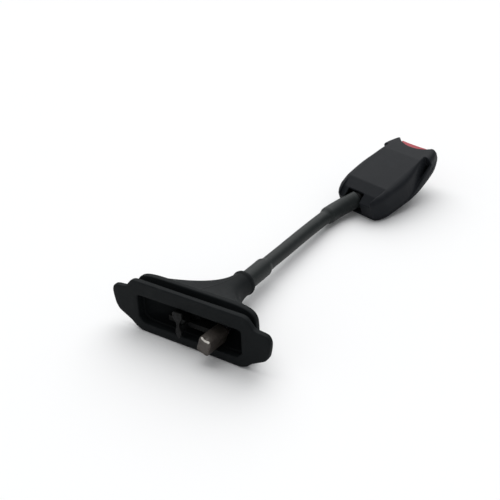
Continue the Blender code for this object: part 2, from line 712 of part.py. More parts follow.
def cover_envelope(name):
    """Lofted solid of the covers' outer form, its rear edge rounded off."""
    creases = [BROW_START, PANEL_START, from_mouth(PANEL_TO_MOUTH)]
    even = np.linspace(0.0, HEAD_LENGTH, COVER_STATIONS)
    clear = [y for y in even if min(abs(y - crease) for crease in creases) > STATION_SPACE]
    stations = sorted(set(np.round(clear, 6)) | set(creases))
    rounded = [cover_ring(0.0, TAIL_ROUND), cover_ring(0.4 * TAIL_ROUND, 0.25 * TAIL_ROUND)]
    return loft(name, rounded + [cover_ring(y) for y in stations if y > TAIL_ROUND])


def part_line(grow):
    """Side outline of the region below the parting line, which climbs to the horns."""
    knots = np.linspace(from_mouth(CLIMB_START_TO_MOUTH), from_mouth(CLIMB_END_TO_MOUTH), 9)
    climb = PART_LINE + (PART_LINE_MOUTH - PART_LINE) * ease((knots - knots[0]) / (knots[-1] - knots[0]))
    line = [(-CUT_ROOM, PART_LINE + grow)] + [(float(y), float(z) + grow) for y, z in zip(knots, climb)]
    line.append((HEAD_LENGTH + CUT_ROOM, PART_LINE_MOUTH + grow))
    return line


def hollow_ring(y):
    """Cross-section of the covers' hollow: rounded below, with cut upper corners."""
    half = min(float(side_half(y)), float(cover_half(y))) - COVER_WALL
    low = float(cover_floor(y)) + COVER_WALL
    high = min(float(cover_top(y)), brow_height(y)) - COVER_WALL
    low_round = max(bottom_round(y) - COVER_WALL, HOLLOW_ROUND)
    right = arc_corner((half - low_round, low + low_round), low_round, -90, 0, 5)
    right += [(half, high - 2.0 * HOLLOW_ROUND), (half - 2.0 * HOLLOW_ROUND, high)]
    points = right + [(-x, z) for x, z in reversed(right)]
    return [(x, float(y), z) for x, z in points]


def brow_ring(y):
    """Cross-section of what is cut away above the brow, as wide as the panel at its upper end."""
    share = min(max(y / PANEL_START, 0.0), 1.0)
    half = BROW_TAIL_HALF + (PANEL_HALF - BROW_TAIL_HALF) * share
    low, high = brow_height(y), PANEL_HEIGHT + CUT_ROOM
    return [(-half, y, low), (half, y, low), (half, y, high), (-half, y, high)]


def shape_cover(target):
    """Cuts the body sides, hollow, mouth, tongue slot and cable port into a cover."""
    collar = from_mouth(COLLAR_TO_MOUTH)
    creases = {PANEL_START, BROW_START, from_mouth(PANEL_TO_MOUTH)}
    stations = sorted(set(np.round(np.linspace(-0.5 * CUT_ROOM, collar, 16), 6)) | creases)
    for word, side in (("left", -1.0), ("right", 1.0)):
        carve(target, loft("side_" + word, [side_cutter_ring(y, side) for y in stations]))
    inside = np.linspace(COVER_WALL + FACE_GAP + SMALL_ROUND, from_mouth(HOLLOW_TO_MOUTH), 12)
    carve(target, loft("cover_hollow", [hollow_ring(y) for y in inside]))

    bow_front = HEAD_LENGTH + CUT_ROOM
    span = MOUTH_END_HALF - HORN_HALF
    turns = np.linspace(-1.0, 1.0, 17)
    dish = [(span * t, HEAD_LENGTH - CONCAVE_DEPTH * (1.0 - t * t) ** 0.8) for t in turns]
    aside = span + SMALL_ROUND
    dish += [(aside, bow_front), (-aside, bow_front)]
    carve(target, prism("mouth_dish", dish, SLOT_FLOOR - SLOT_LEAD, PANEL_HEIGHT + CUT_ROOM))

    carve(target, block("button_port", (-SLOT_HALF, SLOT_HALF), (from_mouth(PORT_TO_MOUTH), bow_front),
                        (SLOT_FLOOR, BUTTON_TOP + RUN_GAP)))
    carve(target, block("cable_port", (-CABLE_PORT_LEFT, CABLE_PORT_RIGHT), (-CUT_ROOM, BROW_START),
                        (CABLE_PORT_LOW, CABLE_PORT_TOP)))
    carve(target, loft("brow_cut", [brow_ring(y) for y in (-CUT_ROOM, 0.0, BROW_START, PANEL_START)]))


def build_covers(head, plastic):
    """Upper and lower plastic covers, split along the parting line."""
    half_wide = HEAD_HALF + CUT_ROOM
    rear, front = -CUT_ROOM, HEAD_LENGTH + CUT_ROOM
    upper = place_object("upper_cover", cover_envelope("upper_cover"), head, plastic)
    shape_cover(upper)
    top = PANEL_HEIGHT + CUT_ROOM
    above = part_line(0.5 * FACE_GAP) + [(front, top), (rear, top)]
    carve(upper, prism("above_line", above, -half_wide, half_wide, "x"), "INTERSECT")
    lower = place_object("lower_cover", cover_envelope("lower_cover"), head, plastic)
    shape_cover(lower)
    below = part_line(-0.5 * FACE_GAP) + [(front, -CUT_ROOM), (rear, -CUT_ROOM)]
    carve(lower, prism("below_line", below, -half_wide, half_wide, "x"), "INTERSECT")


def build_frame(head, steel):
    """Folded steel frame: floor, two flanges, a spring tab and two spring ears."""
    floor, top = FRAME_FLOOR, FRAME_FLOOR + FRAME_THICKNESS
    end, corner = from_mouth(FRAME_TO_MOUTH), FRAME_CORNER
    flange_end, edge = end - FLANGE_TO_END, FRAME_ROUND
    plan = [
        (-EYE_HALF, FRAME_START), (EYE_HALF, FRAME_START), (FRAME_HALF, FRAME_START + corner),
        (FRAME_HALF, end - corner), (FRAME_HALF - corner, end),
        (-FRAME_HALF + corner, end), (-FRAME_HALF, end - corner), (-FRAME_HALF, FRAME_START + corner),
    ]
    frame = place_object("frame", prism("frame", plan, floor, top), head, steel)
    side = [
        (FLANGE_START, floor), (flange_end, floor), (flange_end, FRAME_TOP - edge),
        (flange_end - edge, FRAME_TOP), (FLANGE_START + edge, FRAME_TOP), (FLANGE_START, FRAME_TOP - edge),
    ]
    notch_start = LOCK_START - BUTTON_TRAVEL - 2.0 * RUN_GAP
    notch_end = LOCK_START + LOCK_LENGTH + 2.0 * RUN_GAP
    for word, sign in (("left", -1.0), ("right", 1.0)):
        inner, outer = sign * (FRAME_HALF - FRAME_THICKNESS), sign * FRAME_HALF
        low, high = min(inner, outer), max(inner, outer)
        carve(frame, prism("frame_side_" + word, side, low, high, "x"), "UNION")
        ear_out = sign * (FRAME_HALF + SPRING_EAR_REACH)
        ear_depth = (SPRING_EAR_START, SPRING_EAR_START + FRAME_THICKNESS)
        ear = block("spring_ear_" + word, (min(inner, ear_out), max(inner, ear_out)), ear_depth,
                    (floor, FRAME_TOP - SPRING_EAR_DROP))
        carve(frame, ear, "UNION")
        carve(frame, block("lock_notch_" + word, (low - RUN_GAP, high + RUN_GAP), (notch_start, notch_end),
                           (LOCK_FLOOR - RUN_GAP, FRAME_TOP + CUT_ROOM)))
    tab_end = SPRING_TAB_START + SPRING_TAB_THICKNESS
    carve(frame, block("spring_tab", (-SPRING_TAB_HALF, SPRING_TAB_HALF), (SPRING_TAB_START, tab_end),
                       (floor, EJECTOR_BRIDGE_TOP)), "UNION")
    carve(frame, round_bar("rivet_hole", RIVET_RADIUS + FACE_GAP, floor - RUN_GAP, top + RUN_GAP, "z",
                           (0.0, RIVET_AHEAD), 24))
    across = FRAME_HALF + RUN_GAP
    carve(frame, round_bar("pin_hole", PIN_RADIUS + FACE_GAP, -across, across, "x", (PIN_AHEAD, PIN_UP), 24))


def build_rope_eye(eye_mount, root, steel, line, run, upper_start):
    """Fitting on the rope's upper end: a swaged barrel with a flat eye, and its rivet."""
    low = FRAME_FLOOR + FRAME_THICKNESS + FACE_GAP
    high = low + EYE_THICKNESS
    crimp_inner = ROPE_RADIUS + FACE_GAP
    crimp_outer = crimp_inner + CRIMP_WALL
    barrel_end = float(run[-1])
    stations = np.linspace(upper_start + ROPE_END_ROOM, barrel_end, 7)
    barrel = tube_mesh("rope_eye", line, run, stations, np.full(7, crimp_inner), np.full(7, crimp_outer))
    eye = place_object("rope_eye", barrel, root, steel)
    corner = EYE_CORNER
    root_start = -ROPE_TO_RIVET + ROPE_END_ROOM
    plan = [
        (-EYE_HALF, root_start), (EYE_HALF, root_start), (EYE_HALF, EYE_END - corner),
        (EYE_HALF - corner, EYE_END), (-EYE_HALF + corner, EYE_END), (-EYE_HALF, EYE_END - corner),
    ]
    tongue = carve(eye, prism("eye_tongue", plan, low, high), "UNION")
    tongue.parent = eye_mount
    hole_radius = RIVET_RADIUS + FACE_GAP
    hole = carve(eye, round_bar("eye_hole", hole_radius, low - RUN_GAP, high + RUN_GAP, "z", sides=24))
    hole.parent = eye_mount
    shank_low, shank_high = FRAME_FLOOR - FACE_GAP, high + FACE_GAP
    inset = 0.5 * RIVET_HEAD_HEIGHT
    shank = round_bar("frame_rivet", RIVET_RADIUS, shank_low - inset, shank_high + inset, "z", sides=24)
    rivet = place_object("frame_rivet", shank, eye_mount, steel)
    for word, start, sign in (("lower", shank_low, -1.0), ("upper", shank_high, 1.0)):
        rings = []
        for share, size in ((0.0, 1.0), (0.5, 0.94), (1.0, 0.62)):
            turns = np.linspace(0.0, 2.0 * np.pi, 24, endpoint=False)
            height = start + sign * share * RIVET_HEAD_HEIGHT
            radius = RIVET_HEAD_RADIUS * size
            rings.append([(radius * math.cos(t), radius * math.sin(t), height) for t in turns])
        carve(rivet, loft("rivet_head_" + word, rings), "UNION")


def build_button(head, red):
    """Release button: a bowed block with two legs that reach back outside the frame."""
    front = from_mouth(BUTTON_TO_MOUTH)
    rear = front - BUTTON_BLOCK
    turns = np.linspace(-1.0, 1.0, 11)
    face = [(BUTTON_HALF * t, front - BUTTON_BOW * (1.0 - t * t)) for t in turns]
    plan = [(-BUTTON_HALF, rear)] + face + [(BUTTON_HALF, rear)]
    bowed = prism("release_button", plan, BUTTON_FLOOR, BUTTON_TOP)
    button = place_object("release_button", bowed, head, red)
    leg_in = FRAME_HALF + LEG_GAP
    leg_out = leg_in + LEG_WIDTH
    root, shoulder = BUTTON_HALF - SMALL_ROUND, rear + LEG_SHOULDER
    for word, sign in (("left", -1.0), ("right", 1.0)):
        outline = [
            (root, rear), (root, shoulder), (leg_out - SMALL_ROUND, shoulder),
            (leg_out, shoulder - 2.0 * SMALL_ROUND), (leg_out, LEG_START), (leg_in, LEG_START),
            (leg_in, rear - LEG_SHOULDER), (root, rear - LEG_SHOULDER),
        ]
        leg = prism("button_leg_" + word, [(sign * x, y) for x, y in outline], LEG_FLOOR, LEG_TOP)
        carve(button, leg, "UNION")
        low, high = min(sign * leg_in, sign * leg_out), max(sign * leg_in, sign * leg_out)
        carve(button, block("lock_seat_" + word, (low - RUN_GAP, high + RUN_GAP),
                            (LOCK_START - FACE_GAP, LOCK_START + LOCK_LENGTH + FACE_GAP),
                            (LOCK_FLOOR - FACE_GAP, LEG_TOP + CUT_ROOM)))
    return button


def build_lock(head, steel):
    """Steel lock slide that the button's legs carry across the top of the latch."""
    reach = FRAME_HALF + RUN_GAP + LEG_WIDTH
    size = block("lock_slide", (-reach, reach), (0.0, LOCK_LENGTH), (0.0, LOCK_THICKNESS))
    place_object("lock_slide", size, head, steel, (0.0, LOCK_START, LOCK_FLOOR))


def build_latch(head, steel, spring_steel):
    """Latch plate with its hook, on a pin across the frame, with its spring round the pin."""
    pivot = add_empty("latch_pivot", (0.0, PIN_AHEAD, PIN_UP), parent=head)
    reach = LATCH_END - PIN_AHEAD
    low = -LATCH_THICKNESS + LATCH_DROP
    top = low + LATCH_THICKNESS
    root = PIN_RADIUS + LATCH_EYE_WALL
    catch = reach - HOOK_LENGTH
    profile = [(root, low), (catch, low), (catch + HOOK_DROP, low - HOOK_DROP), (reach, low - HOOK_DROP),
               (reach + HOOK_DROP, top), (root, top)]
    plate = prism("latch_plate", profile, -LATCH_HALF, LATCH_HALF, "x")
    latch = place_object("latch_plate", plate, pivot, steel)
    knuckle = round_bar("latch_knuckle", root + FACE_GAP, -LATCH_EAR_HALF, LATCH_EAR_HALF, "x", sides=24)
    carve(latch, knuckle, "UNION")
    bore_half = LATCH_EAR_HALF + RUN_GAP
    carve(latch, round_bar("latch_bore", PIN_RADIUS + FACE_GAP, -bore_half, bore_half, "x", sides=24))
    pin = round_bar("latch_pin", PIN_RADIUS, -FRAME_HALF, FRAME_HALF, "x", sides=24)
    place_object("latch_pin", pin, head, steel, (0.0, PIN_AHEAD, PIN_UP))
    start = LATCH_EAR_HALF + 2.0 * RUN_GAP
    end = FRAME_HALF - FRAME_THICKNESS - 2.0 * RUN_GAP
    radius = PIN_RADIUS + SPRING_WIRE + RUN_GAP
    spring = coil_mesh("latch_spring", radius, start, end, LATCH_SPRING_TURNS, "x")
    place_object("latch_spring", spring, pivot, spring_steel)


def build_ejector(head, plastic, spring_steel):
    """Ejector fork on the frame floor, pushed forward by its spring."""
    floor = FRAME_FLOOR + FRAME_THICKNESS + RUN_GAP
    depth = EJECTOR_END - EJECTOR_START
    half = FRAME_HALF - FRAME_THICKNESS - EJECTOR_GAP
    bridge = block("ejector", (-half, half), (0.0, EJECTOR_BRIDGE), (0.0, EJECTOR_BRIDGE_TOP - floor))
    ejector = place_object("ejector", bridge, head, plastic, (0.0, EJECTOR_START, floor))
    for word, sign in (("left", -1.0), ("right", 1.0)):
        inner, outer = sign * EJECTOR_SLOT_HALF, sign * half
        leg = block("ejector_leg_" + word, (min(inner, outer), max(inner, outer)),
                    (0.5 * EJECTOR_BRIDGE, depth), (0.0, EJECTOR_TOP - floor))
        guide = carve(ejector, leg, "UNION")
        guide.location = ejector.location
    start = SPRING_TAB_START + SPRING_TAB_THICKNESS + FACE_GAP
    spring = coil_mesh("ejector_spring", EJECTOR_SPRING_RADIUS, 0.0, EJECTOR_START - FACE_GAP - start,
                       EJECTOR_SPRING_TURNS, "y")
    height = floor + 0.5 * (EJECTOR_BRIDGE_TOP - floor)
    place_object("ejector_spring", spring, head, spring_steel, (0.0, start, height))


def build_button_springs(head, spring_steel):
    """Two springs between the frame's ears and the button's legs."""
    start = SPRING_EAR_START + FRAME_THICKNESS + FACE_GAP
    end = LEG_START - FACE_GAP
    middle = FRAME_HALF + LEG_GAP + 0.5 * LEG_WIDTH
    height = 0.5 * (LEG_FLOOR + FRAME_TOP - SPRING_EAR_DROP)
    for word, sign in (("left", -1.0), ("right", 1.0)):
        name = "button_spring_" + word
        spring = coil_mesh(name, BUTTON_SPRING_RADIUS, 0.0, end - start, BUTTON_SPRING_TURNS, "y")
        place_object(name, spring, head, spring_steel, (sign * middle, start, height))


def coil_mesh(name, radius, low, high, turns, axis):
    """Round-wire helix from low to high along one axis, its ends inside that span."""
    steps = turns * 11
    share = np.linspace(0.0, 1.0, steps + 1)
    angle = 2.0 * np.pi * turns * share
    run = low + SPRING_WIRE + (high - low - 2.0 * SPRING_WIRE) * share
    pitch = (high - low) / turns
    slope = math.atan2(pitch, 2.0 * math.pi * radius)
    rings = []
    for a, h in zip(angle, run):
        ring = []
        for t in np.linspace(0.0, 2.0 * np.pi, 6, endpoint=False):
            out = radius + SPRING_WIRE * math.cos(t)
            lift = SPRING_WIRE * math.sin(t)
            flat = a - lift * math.sin(slope) / radius
            spot = (out * math.cos(flat), out * math.sin(flat), h + lift * math.cos(slope))
            ring.append((spot[2], spot[0], spot[1]) if axis == "x" else (spot[1], spot[2], spot[0]))
        rings.append(ring)
    return loft(name, rings)


def settle_on_table(root):
    """Moves the whole object so that the middle of its box's foot is at the origin."""
    bpy.context.view_layer.update()
    graph = bpy.context.evaluated_depsgraph_get()
    low, high = Vector((9.0, 9.0, 9.0)), Vector((-9.0, -9.0, -9.0))
    for thing in bpy.context.scene.objects:
        if thing.type != "MESH" or thing.hide_render:
            continue
        shown = thing.evaluated_get(graph)
        for corner in shown.data.vertices:
            spot = shown.matrix_world @ corner.co
            low = Vector(map(min, low, spot))
            high = Vector(map(max, high, spot))
    middle = 0.5 * (low + high)
    root.location = (-middle.x, -middle.y, -low.z)
    bpy.context.view_layer.update()


def main():
    """Builds the buckle, its stalk and its boot."""
    for thing in list(bpy.data.objects):
        bpy.data.objects.remove(thing)
    rubber = add_material("boot_rubber", (0.018, 0.021, 0.023), 0.62, 0.0)
    sleeve_black = add_material("sleeve_plastic", (0.030, 0.034, 0.037), 0.48, 0.0)
    plastic = add_material("cover_plastic", (0.028, 0.031, 0.036), 0.45, 0.0)
    dark_plastic = add_material("ejector_plastic", (0.35, 0.35, 0.33), 0.5, 0.0)
    red = add_material("button_red", (0.55, 0.035, 0.05), 0.38, 0.0)
    steel = add_material("bare_steel", (0.42, 0.39, 0.35), 0.42, 1.0)
    black_steel = add_material("black_steel", (0.03, 0.03, 0.032), 0.5, 0.6)
    spring_steel = add_material("spring_steel", (0.55, 0.55, 0.56), 0.3, 1.0)

    root = add_empty("table_origin", (0.0, 0.0, 0.0))
    boot_lift = FLANGE_THICKNESS * math.sin(BOOT_LEAN)
    boot = add_empty("boot_mount", (0.0, 0.0, boot_lift), (-BOOT_LEAN, 0.0, BOOT_TURN), root)
    span = Matrix.Rotation(BOOT_TURN, 3, "Z") @ Vector((HEAD_ASIDE, HEAD_AHEAD, 0.0))
    heel_sink = HEEL_LENGTH * math.sin(HEAD_PITCH)
    head = add_empty("head_mount", (span.x, span.y, -heel_sink), (HEAD_PITCH, 0.0, 0.0), root)
    eye = add_empty("eye_mount", (0.0, RIVET_AHEAD, 0.0), (0.0, 0.0, EYE_TURN), head)
    bpy.context.view_layer.update()

    build_boot(boot, rubber)
    build_anchor(boot, steel, black_steel)
    line, run, upper_start = build_cable(root, boot, eye, steel, sleeve_black)
    build_rope_eye(eye, root, steel, line, run, upper_start)
    build_covers(head, plastic)
    build_frame(head, steel)
    build_button(head, red)
    build_lock(head, steel)
    build_latch(head, steel, spring_steel)
    build_ejector(head, dark_plastic, spring_steel)
    build_button_springs(head, spring_steel)
    settle_on_table(root)


if __name__ == "__main__":
    main()
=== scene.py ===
import json
import logging
import math
from dataclasses import dataclass, field, fields
from enum import Enum
from typing import Dict, List, Optional, Sequence, Tuple, Union

import bmesh
import bpy
import numpy as np
from mathutils import Matrix, Vector

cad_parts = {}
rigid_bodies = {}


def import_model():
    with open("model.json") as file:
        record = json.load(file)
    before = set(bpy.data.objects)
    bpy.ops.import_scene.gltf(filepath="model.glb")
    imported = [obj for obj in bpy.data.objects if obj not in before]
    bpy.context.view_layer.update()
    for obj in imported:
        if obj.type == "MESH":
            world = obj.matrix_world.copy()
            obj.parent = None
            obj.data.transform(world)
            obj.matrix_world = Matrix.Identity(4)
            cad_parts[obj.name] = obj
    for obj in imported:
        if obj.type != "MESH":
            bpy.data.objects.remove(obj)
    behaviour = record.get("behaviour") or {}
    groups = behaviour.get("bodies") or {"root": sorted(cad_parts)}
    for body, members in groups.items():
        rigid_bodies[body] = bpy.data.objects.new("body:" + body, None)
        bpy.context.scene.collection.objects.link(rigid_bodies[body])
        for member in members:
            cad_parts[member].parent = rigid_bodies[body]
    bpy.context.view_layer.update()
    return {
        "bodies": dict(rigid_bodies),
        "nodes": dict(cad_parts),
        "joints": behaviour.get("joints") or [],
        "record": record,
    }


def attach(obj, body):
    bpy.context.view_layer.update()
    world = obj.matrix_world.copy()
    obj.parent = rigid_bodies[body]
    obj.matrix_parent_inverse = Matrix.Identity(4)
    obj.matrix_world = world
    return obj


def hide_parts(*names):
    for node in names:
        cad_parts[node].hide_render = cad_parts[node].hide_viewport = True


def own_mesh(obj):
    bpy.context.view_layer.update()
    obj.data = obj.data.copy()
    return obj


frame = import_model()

LOG = logging.getLogger("seat_belt_buckle")

Pair = Tuple[float, float]
Triple = Tuple[float, float, float]
Colour = Triple
Operand = Union["Wire", float]


class Body(Enum):
    """The bodies that new pieces ride on."""

    CASING = "casing"
    BUTTON = "button"


class Slot(Enum):
    """The record's material slots, by name."""

    BOOT = "boot_rubber"
    SLEEVE = "sleeve_plastic"
    COVER = "cover_plastic"
    BUTTON = "button_red"
    STEEL = "bare_steel"
    BLACK_STEEL = "black_steel"
    SPRING = "spring_steel"


# Shader arithmetic


class Wire:
    """A shader socket that takes part in arithmetic."""

    def __init__(self, graph: "Graph", socket: Optional[bpy.types.NodeSocket]) -> None:
        """Keeps the graph and the socket."""
        self.graph = graph
        self.socket = socket

    def __add__(self, other: Operand) -> "Wire":
        """Sum with a socket or a number."""
        return self.graph.math("ADD", self, other)

    __radd__ = __add__

    def __sub__(self, other: Operand) -> "Wire":
        """Difference from a socket or a number."""
        return self.graph.math("SUBTRACT", self, other)

    def __rsub__(self, other: Operand) -> "Wire":
        """A number less this socket."""
        return self.graph.math("SUBTRACT", other, self)

    def __mul__(self, other: Operand) -> "Wire":
        """Product with a socket or a number."""
        return self.graph.math("MULTIPLY", self, other)

    __rmul__ = __mul__

    def __abs__(self) -> "Wire":
        """Size without its sign."""
        return self.graph.math("ABSOLUTE", self)

    def swing(self, reach: float) -> "Wire":
        """A value from 0 to 1 turned into one of the given reach about 0."""
        return (self - 0.5) * reach

    def blend(self, other: "Wire", share: float) -> "Wire":
        """Sum of the given share of this socket and the rest of the other."""
        return self * share + other * (1.0 - share)

    def step(self, low: float, high: float) -> "Wire":
        """Smooth step from 0 at low to 1 at high.

        Args:
            low: value at which the step starts.
            high: value at which the step ends.

        Returns:
            The stepped value, between 0 and 1.
        """
        sockets = {"Value": self, "From Min": low, "From Max": high, "To Min": 0.0, "To Max": 1.0}
        return self.graph.node("ShaderNodeMapRange", {"interpolation_type": "SMOOTHSTEP"}, sockets)


class Graph:
    """The node tree of a material or of the world, built by expressions."""

    def __init__(self, owner: Union[bpy.types.Material, bpy.types.World]) -> None:
        """Empties the owner's node tree.

        Args:
            owner: the new material or world.
        """
        owner.use_nodes = True
        self.owner = owner
        self.tree = owner.node_tree
        self.tree.nodes.clear()

    def node(self, kind: str, settings: Dict[str, object], sockets: Dict[Union[str, int], object],
             result: str = "") -> Wire:
        """Adds a node: its settings first, then its sockets.

        Args:
            kind: Blender's type name of the node.
            settings: attributes of the node.
            sockets: values or wires by the socket's name, or by its number where names repeat.
            result: name of the output, or empty for the first one in use.

        Returns:
            The node's output, without a socket where the node has none.
        """
        made = self.tree.nodes.new(kind)
        for key, value in settings.items():
            setattr(made, key, value)
        for key, value in sockets.items():
            named = (s for s in made.inputs if s.enabled and s.name == key)
            socket = made.inputs[key] if isinstance(key, int) else next(named)
            if isinstance(value, Wire):
                self.tree.links.new(value.socket, socket)
            else:
                socket.default_value = value
        return Wire(self, next((s for s in made.outputs if s.enabled and result in ("", s.name)), None))

    def math(self, operation: str, *operands: Operand) -> Wire:
        """Adds a Math node with its operands in order."""
        return self.node("ShaderNodeMath", {"operation": operation}, dict(enumerate(operands)))

    def mix(self, factor: Operand, first: object, second: object) -> Wire:
        """Mixes two colours.

        Args:
            factor: share of the second colour.
            first: colour or wire at 0.
            second: colour or wire at 1.

        Returns:
            The mixed colour.
        """
        sockets = {"Factor": factor, "A": self.opaque(first), "B": self.opaque(second)}
        return self.node("ShaderNodeMix", {"data_type": "RGBA"}, sockets)

    @staticmethod
    def opaque(colour: object) -> object:
        """Adds an alpha of 1 to a plain colour, and leaves a wire alone."""
        return colour if isinstance(colour, Wire) else (*colour, 1.0)

    def place(self) -> Wire:
        """Object coordinates in metres."""
        return self.node("ShaderNodeTexCoord", {}, {}, "Object")

    def attribute(self, name: str) -> Wire:
        """A number stored on the mesh's points."""
        return self.node("ShaderNodeAttribute", {"attribute_name": name}, {}, "Fac")

    def edges(self, patches: Wire, reach: float, low: float, high: float) -> Wire:
        """Rubbed edges, with painted highlights where the edge value holds them: the mesh's edge value, made
        uneven by a noise, and stepped.

        Args:
            patches: noise from 0 to 1.
            reach: how far the noise moves the edge value.
            low: edge value at which rubbing starts.
            high: edge value at which it is full.

        Returns:
            The rubbing, between 0 and 1.
        """
        return (self.attribute("edge") + patches.swing(reach)).step(low, high)

    def uneven(self, middle: float, noises: Sequence[Wire], reaches: Sequence[float]) -> Wire:
        """A number made uneven by noises, each with its own reach."""
        return sum((noise.swing(reach) for noise, reach in zip(noises, reaches)), middle)

    def stretched(self, scale: Triple, turn: Triple = (0.0, 0.0, 0.0)) -> Wire:
        """Object coordinates turned and then stretched.

        Args:
            scale: factor along each axis.
            turn: Euler angles in radians.

        Returns:
            The mapped coordinates.
        """
        return self.node("ShaderNodeMapping", {"vector_type": "POINT"},
                         {"Vector": self.place(), "Rotation": turn, "Scale": scale})

    def noise(self, size: float, detail: float = 3.0, rough: float = 0.55, bend: float = 0.0,
              where: Optional[Wire] = None) -> Wire:
        """Noise of a given feature size in metres.

        Args:
            size: width of one feature.
            detail: number of octaves.
            rough: weight of the finer octaves.
            bend: distortion of the noise.
            where: coordinates, or None for Object coordinates.

        Returns:
            A value about 0.5.
        """
        sockets = {"Vector": where or self.place(), "Scale": 1.0 / size, "Detail": detail, "Roughness": rough,
                   "Distortion": bend}
        return self.node("ShaderNodeTexNoise", {"noise_dimensions": "3D"}, sockets)

    def cells(self, size: float) -> Wire:
        """Distance from the nearest of scattered points, 0 at a point, in cells of a given size."""
        return self.node("ShaderNodeTexVoronoi", {"feature": "F1"},
                         {"Vector": self.place(), "Scale": 1.0 / size}, "Distance")

    def bump(self, height: Wire, depth: float, under: Optional[Wire] = None) -> Wire:
        """Turns a height from 0 to 1 into a normal.

        Args:
            height: height of the relief.
            depth: full depth of the relief in metres.
            under: normal of a coarser relief below it.

        Returns:
            The bumped normal.
        """
        sockets = {"Strength": 1.0, "Distance": depth, "Height": height}
        if under is not None:
            sockets["Normal"] = under
        return self.node("ShaderNodeBump", {}, sockets)

    def finish(self, colour: object, roughness: Operand, gloss: float, normal: Optional[Wire] = None,
               metallic: float = 0.0) -> bpy.types.Material:
        """Adds the Principled shader and the output.

        Args:
            colour: colour or wire.
            roughness: number or wire.
            gloss: specular level.
            normal: normal of the relief, or None for a plain surface.
            metallic: share of metal.

        Returns:
            The finished material.
        """
        sockets = {"Base Color": self.opaque(colour), "Roughness": roughness, "Metallic": metallic,
                   "Specular IOR Level": gloss}
        if normal is not None:
            sockets["Normal"] = normal
        surface = self.node("ShaderNodeBsdfPrincipled", {}, sockets)
        self.node("ShaderNodeOutputMaterial", {}, {"Surface": surface})
        return self.owner


# Finishes


@dataclass(frozen=True)
class Hairlines:
    """Fine scratches: the thin lines where a stretched noise passes a level."""

    stretch: Triple
    turn: Triple
    bend: float
    level: float
    width: float

    def wire(self, g: Graph) -> Wire:
        """Adds the scratches' nodes.

        Args:
            g: the graph of the material.

        Returns:
            1 on a scratch and 0 away from it.
        """
        where = g.stretched(self.stretch, self.turn)
        lines = g.noise(1.0, detail=2.0, rough=0.5, bend=self.bend, where=where)
        return 1.0 - abs(lines - self.level).step(0.0, self.width)


@dataclass(frozen=True)
class MouldedPlastic:
    """Moulded plastic with spark-eroded grain, scuffs, fine scratches and paler worn edges."""

    name: str
    colour: Colour
    worn: Colour
    roughness: float = 0.42
    grain: float = 0.00045
    grain_depth: float = 0.00003
    wear: float = 0.6
    gloss: float = 0.28
    mottle: float = 0.021
    smudge: float = 0.0065
    smudge_depth: float = 0.00006
    rubbing: Triple = (0.55, 0.42, 0.95)
    polish: float = 0.05
    dust: float = 0.35
    dusted: Pair = (0.50, 0.75)
    dust_gain: float = 1.55
    dust_lift: float = 0.004
    uneven: Triple = (0.16, 0.10, 0.12)
    scuffed: Pair = (0.54, 0.68)
    scratch_colour: float = 0.25
    scratch_cut: float = 0.4
    long_scratches: Hairlines = Hairlines((420.0, 30.0, 420.0), (0.3, 0.0, 0.25), 0.3, 0.50, 0.006)
    cross_scratches: Hairlines = Hairlines((40.0, 360.0, 300.0), (0.0, 0.2, 0.6), 0.2, 0.52, 0.005)

    def build(self) -> bpy.types.Material:
        """Grain and broad mottling, scratches in smudged patches, dust, and wear on edges.

        Returns:
            The material.
        """
        g = Graph(bpy.data.materials.new(self.name))
        broad = g.noise(self.mottle, detail=4.0)
        smudge = g.noise(self.smudge, detail=4.0, rough=0.6, bend=0.4)
        grain = g.noise(self.grain, detail=2.0, rough=0.6)
        scratches = (self.long_scratches.wire(g) + self.cross_scratches.wire(g)) * smudge.step(*self.scuffed)
        worn = g.edges(smudge, *self.rubbing) * self.wear
        dusty = tuple(c * self.dust_gain + self.dust_lift for c in self.colour)
        tint = g.mix(broad.step(*self.dusted) * self.dust, self.colour, dusty)
        colour = g.mix((worn + scratches * self.scratch_colour).step(0.0, 1.0), tint, self.worn)
        roughness = g.uneven(self.roughness, (broad, grain, smudge), self.uneven) - worn * self.polish
        coarse = g.bump(smudge, self.smudge_depth)
        normal = g.bump(grain - scratches * self.scratch_cut, self.grain_depth, coarse)
        return g.finish(colour, roughness, self.gloss, normal)


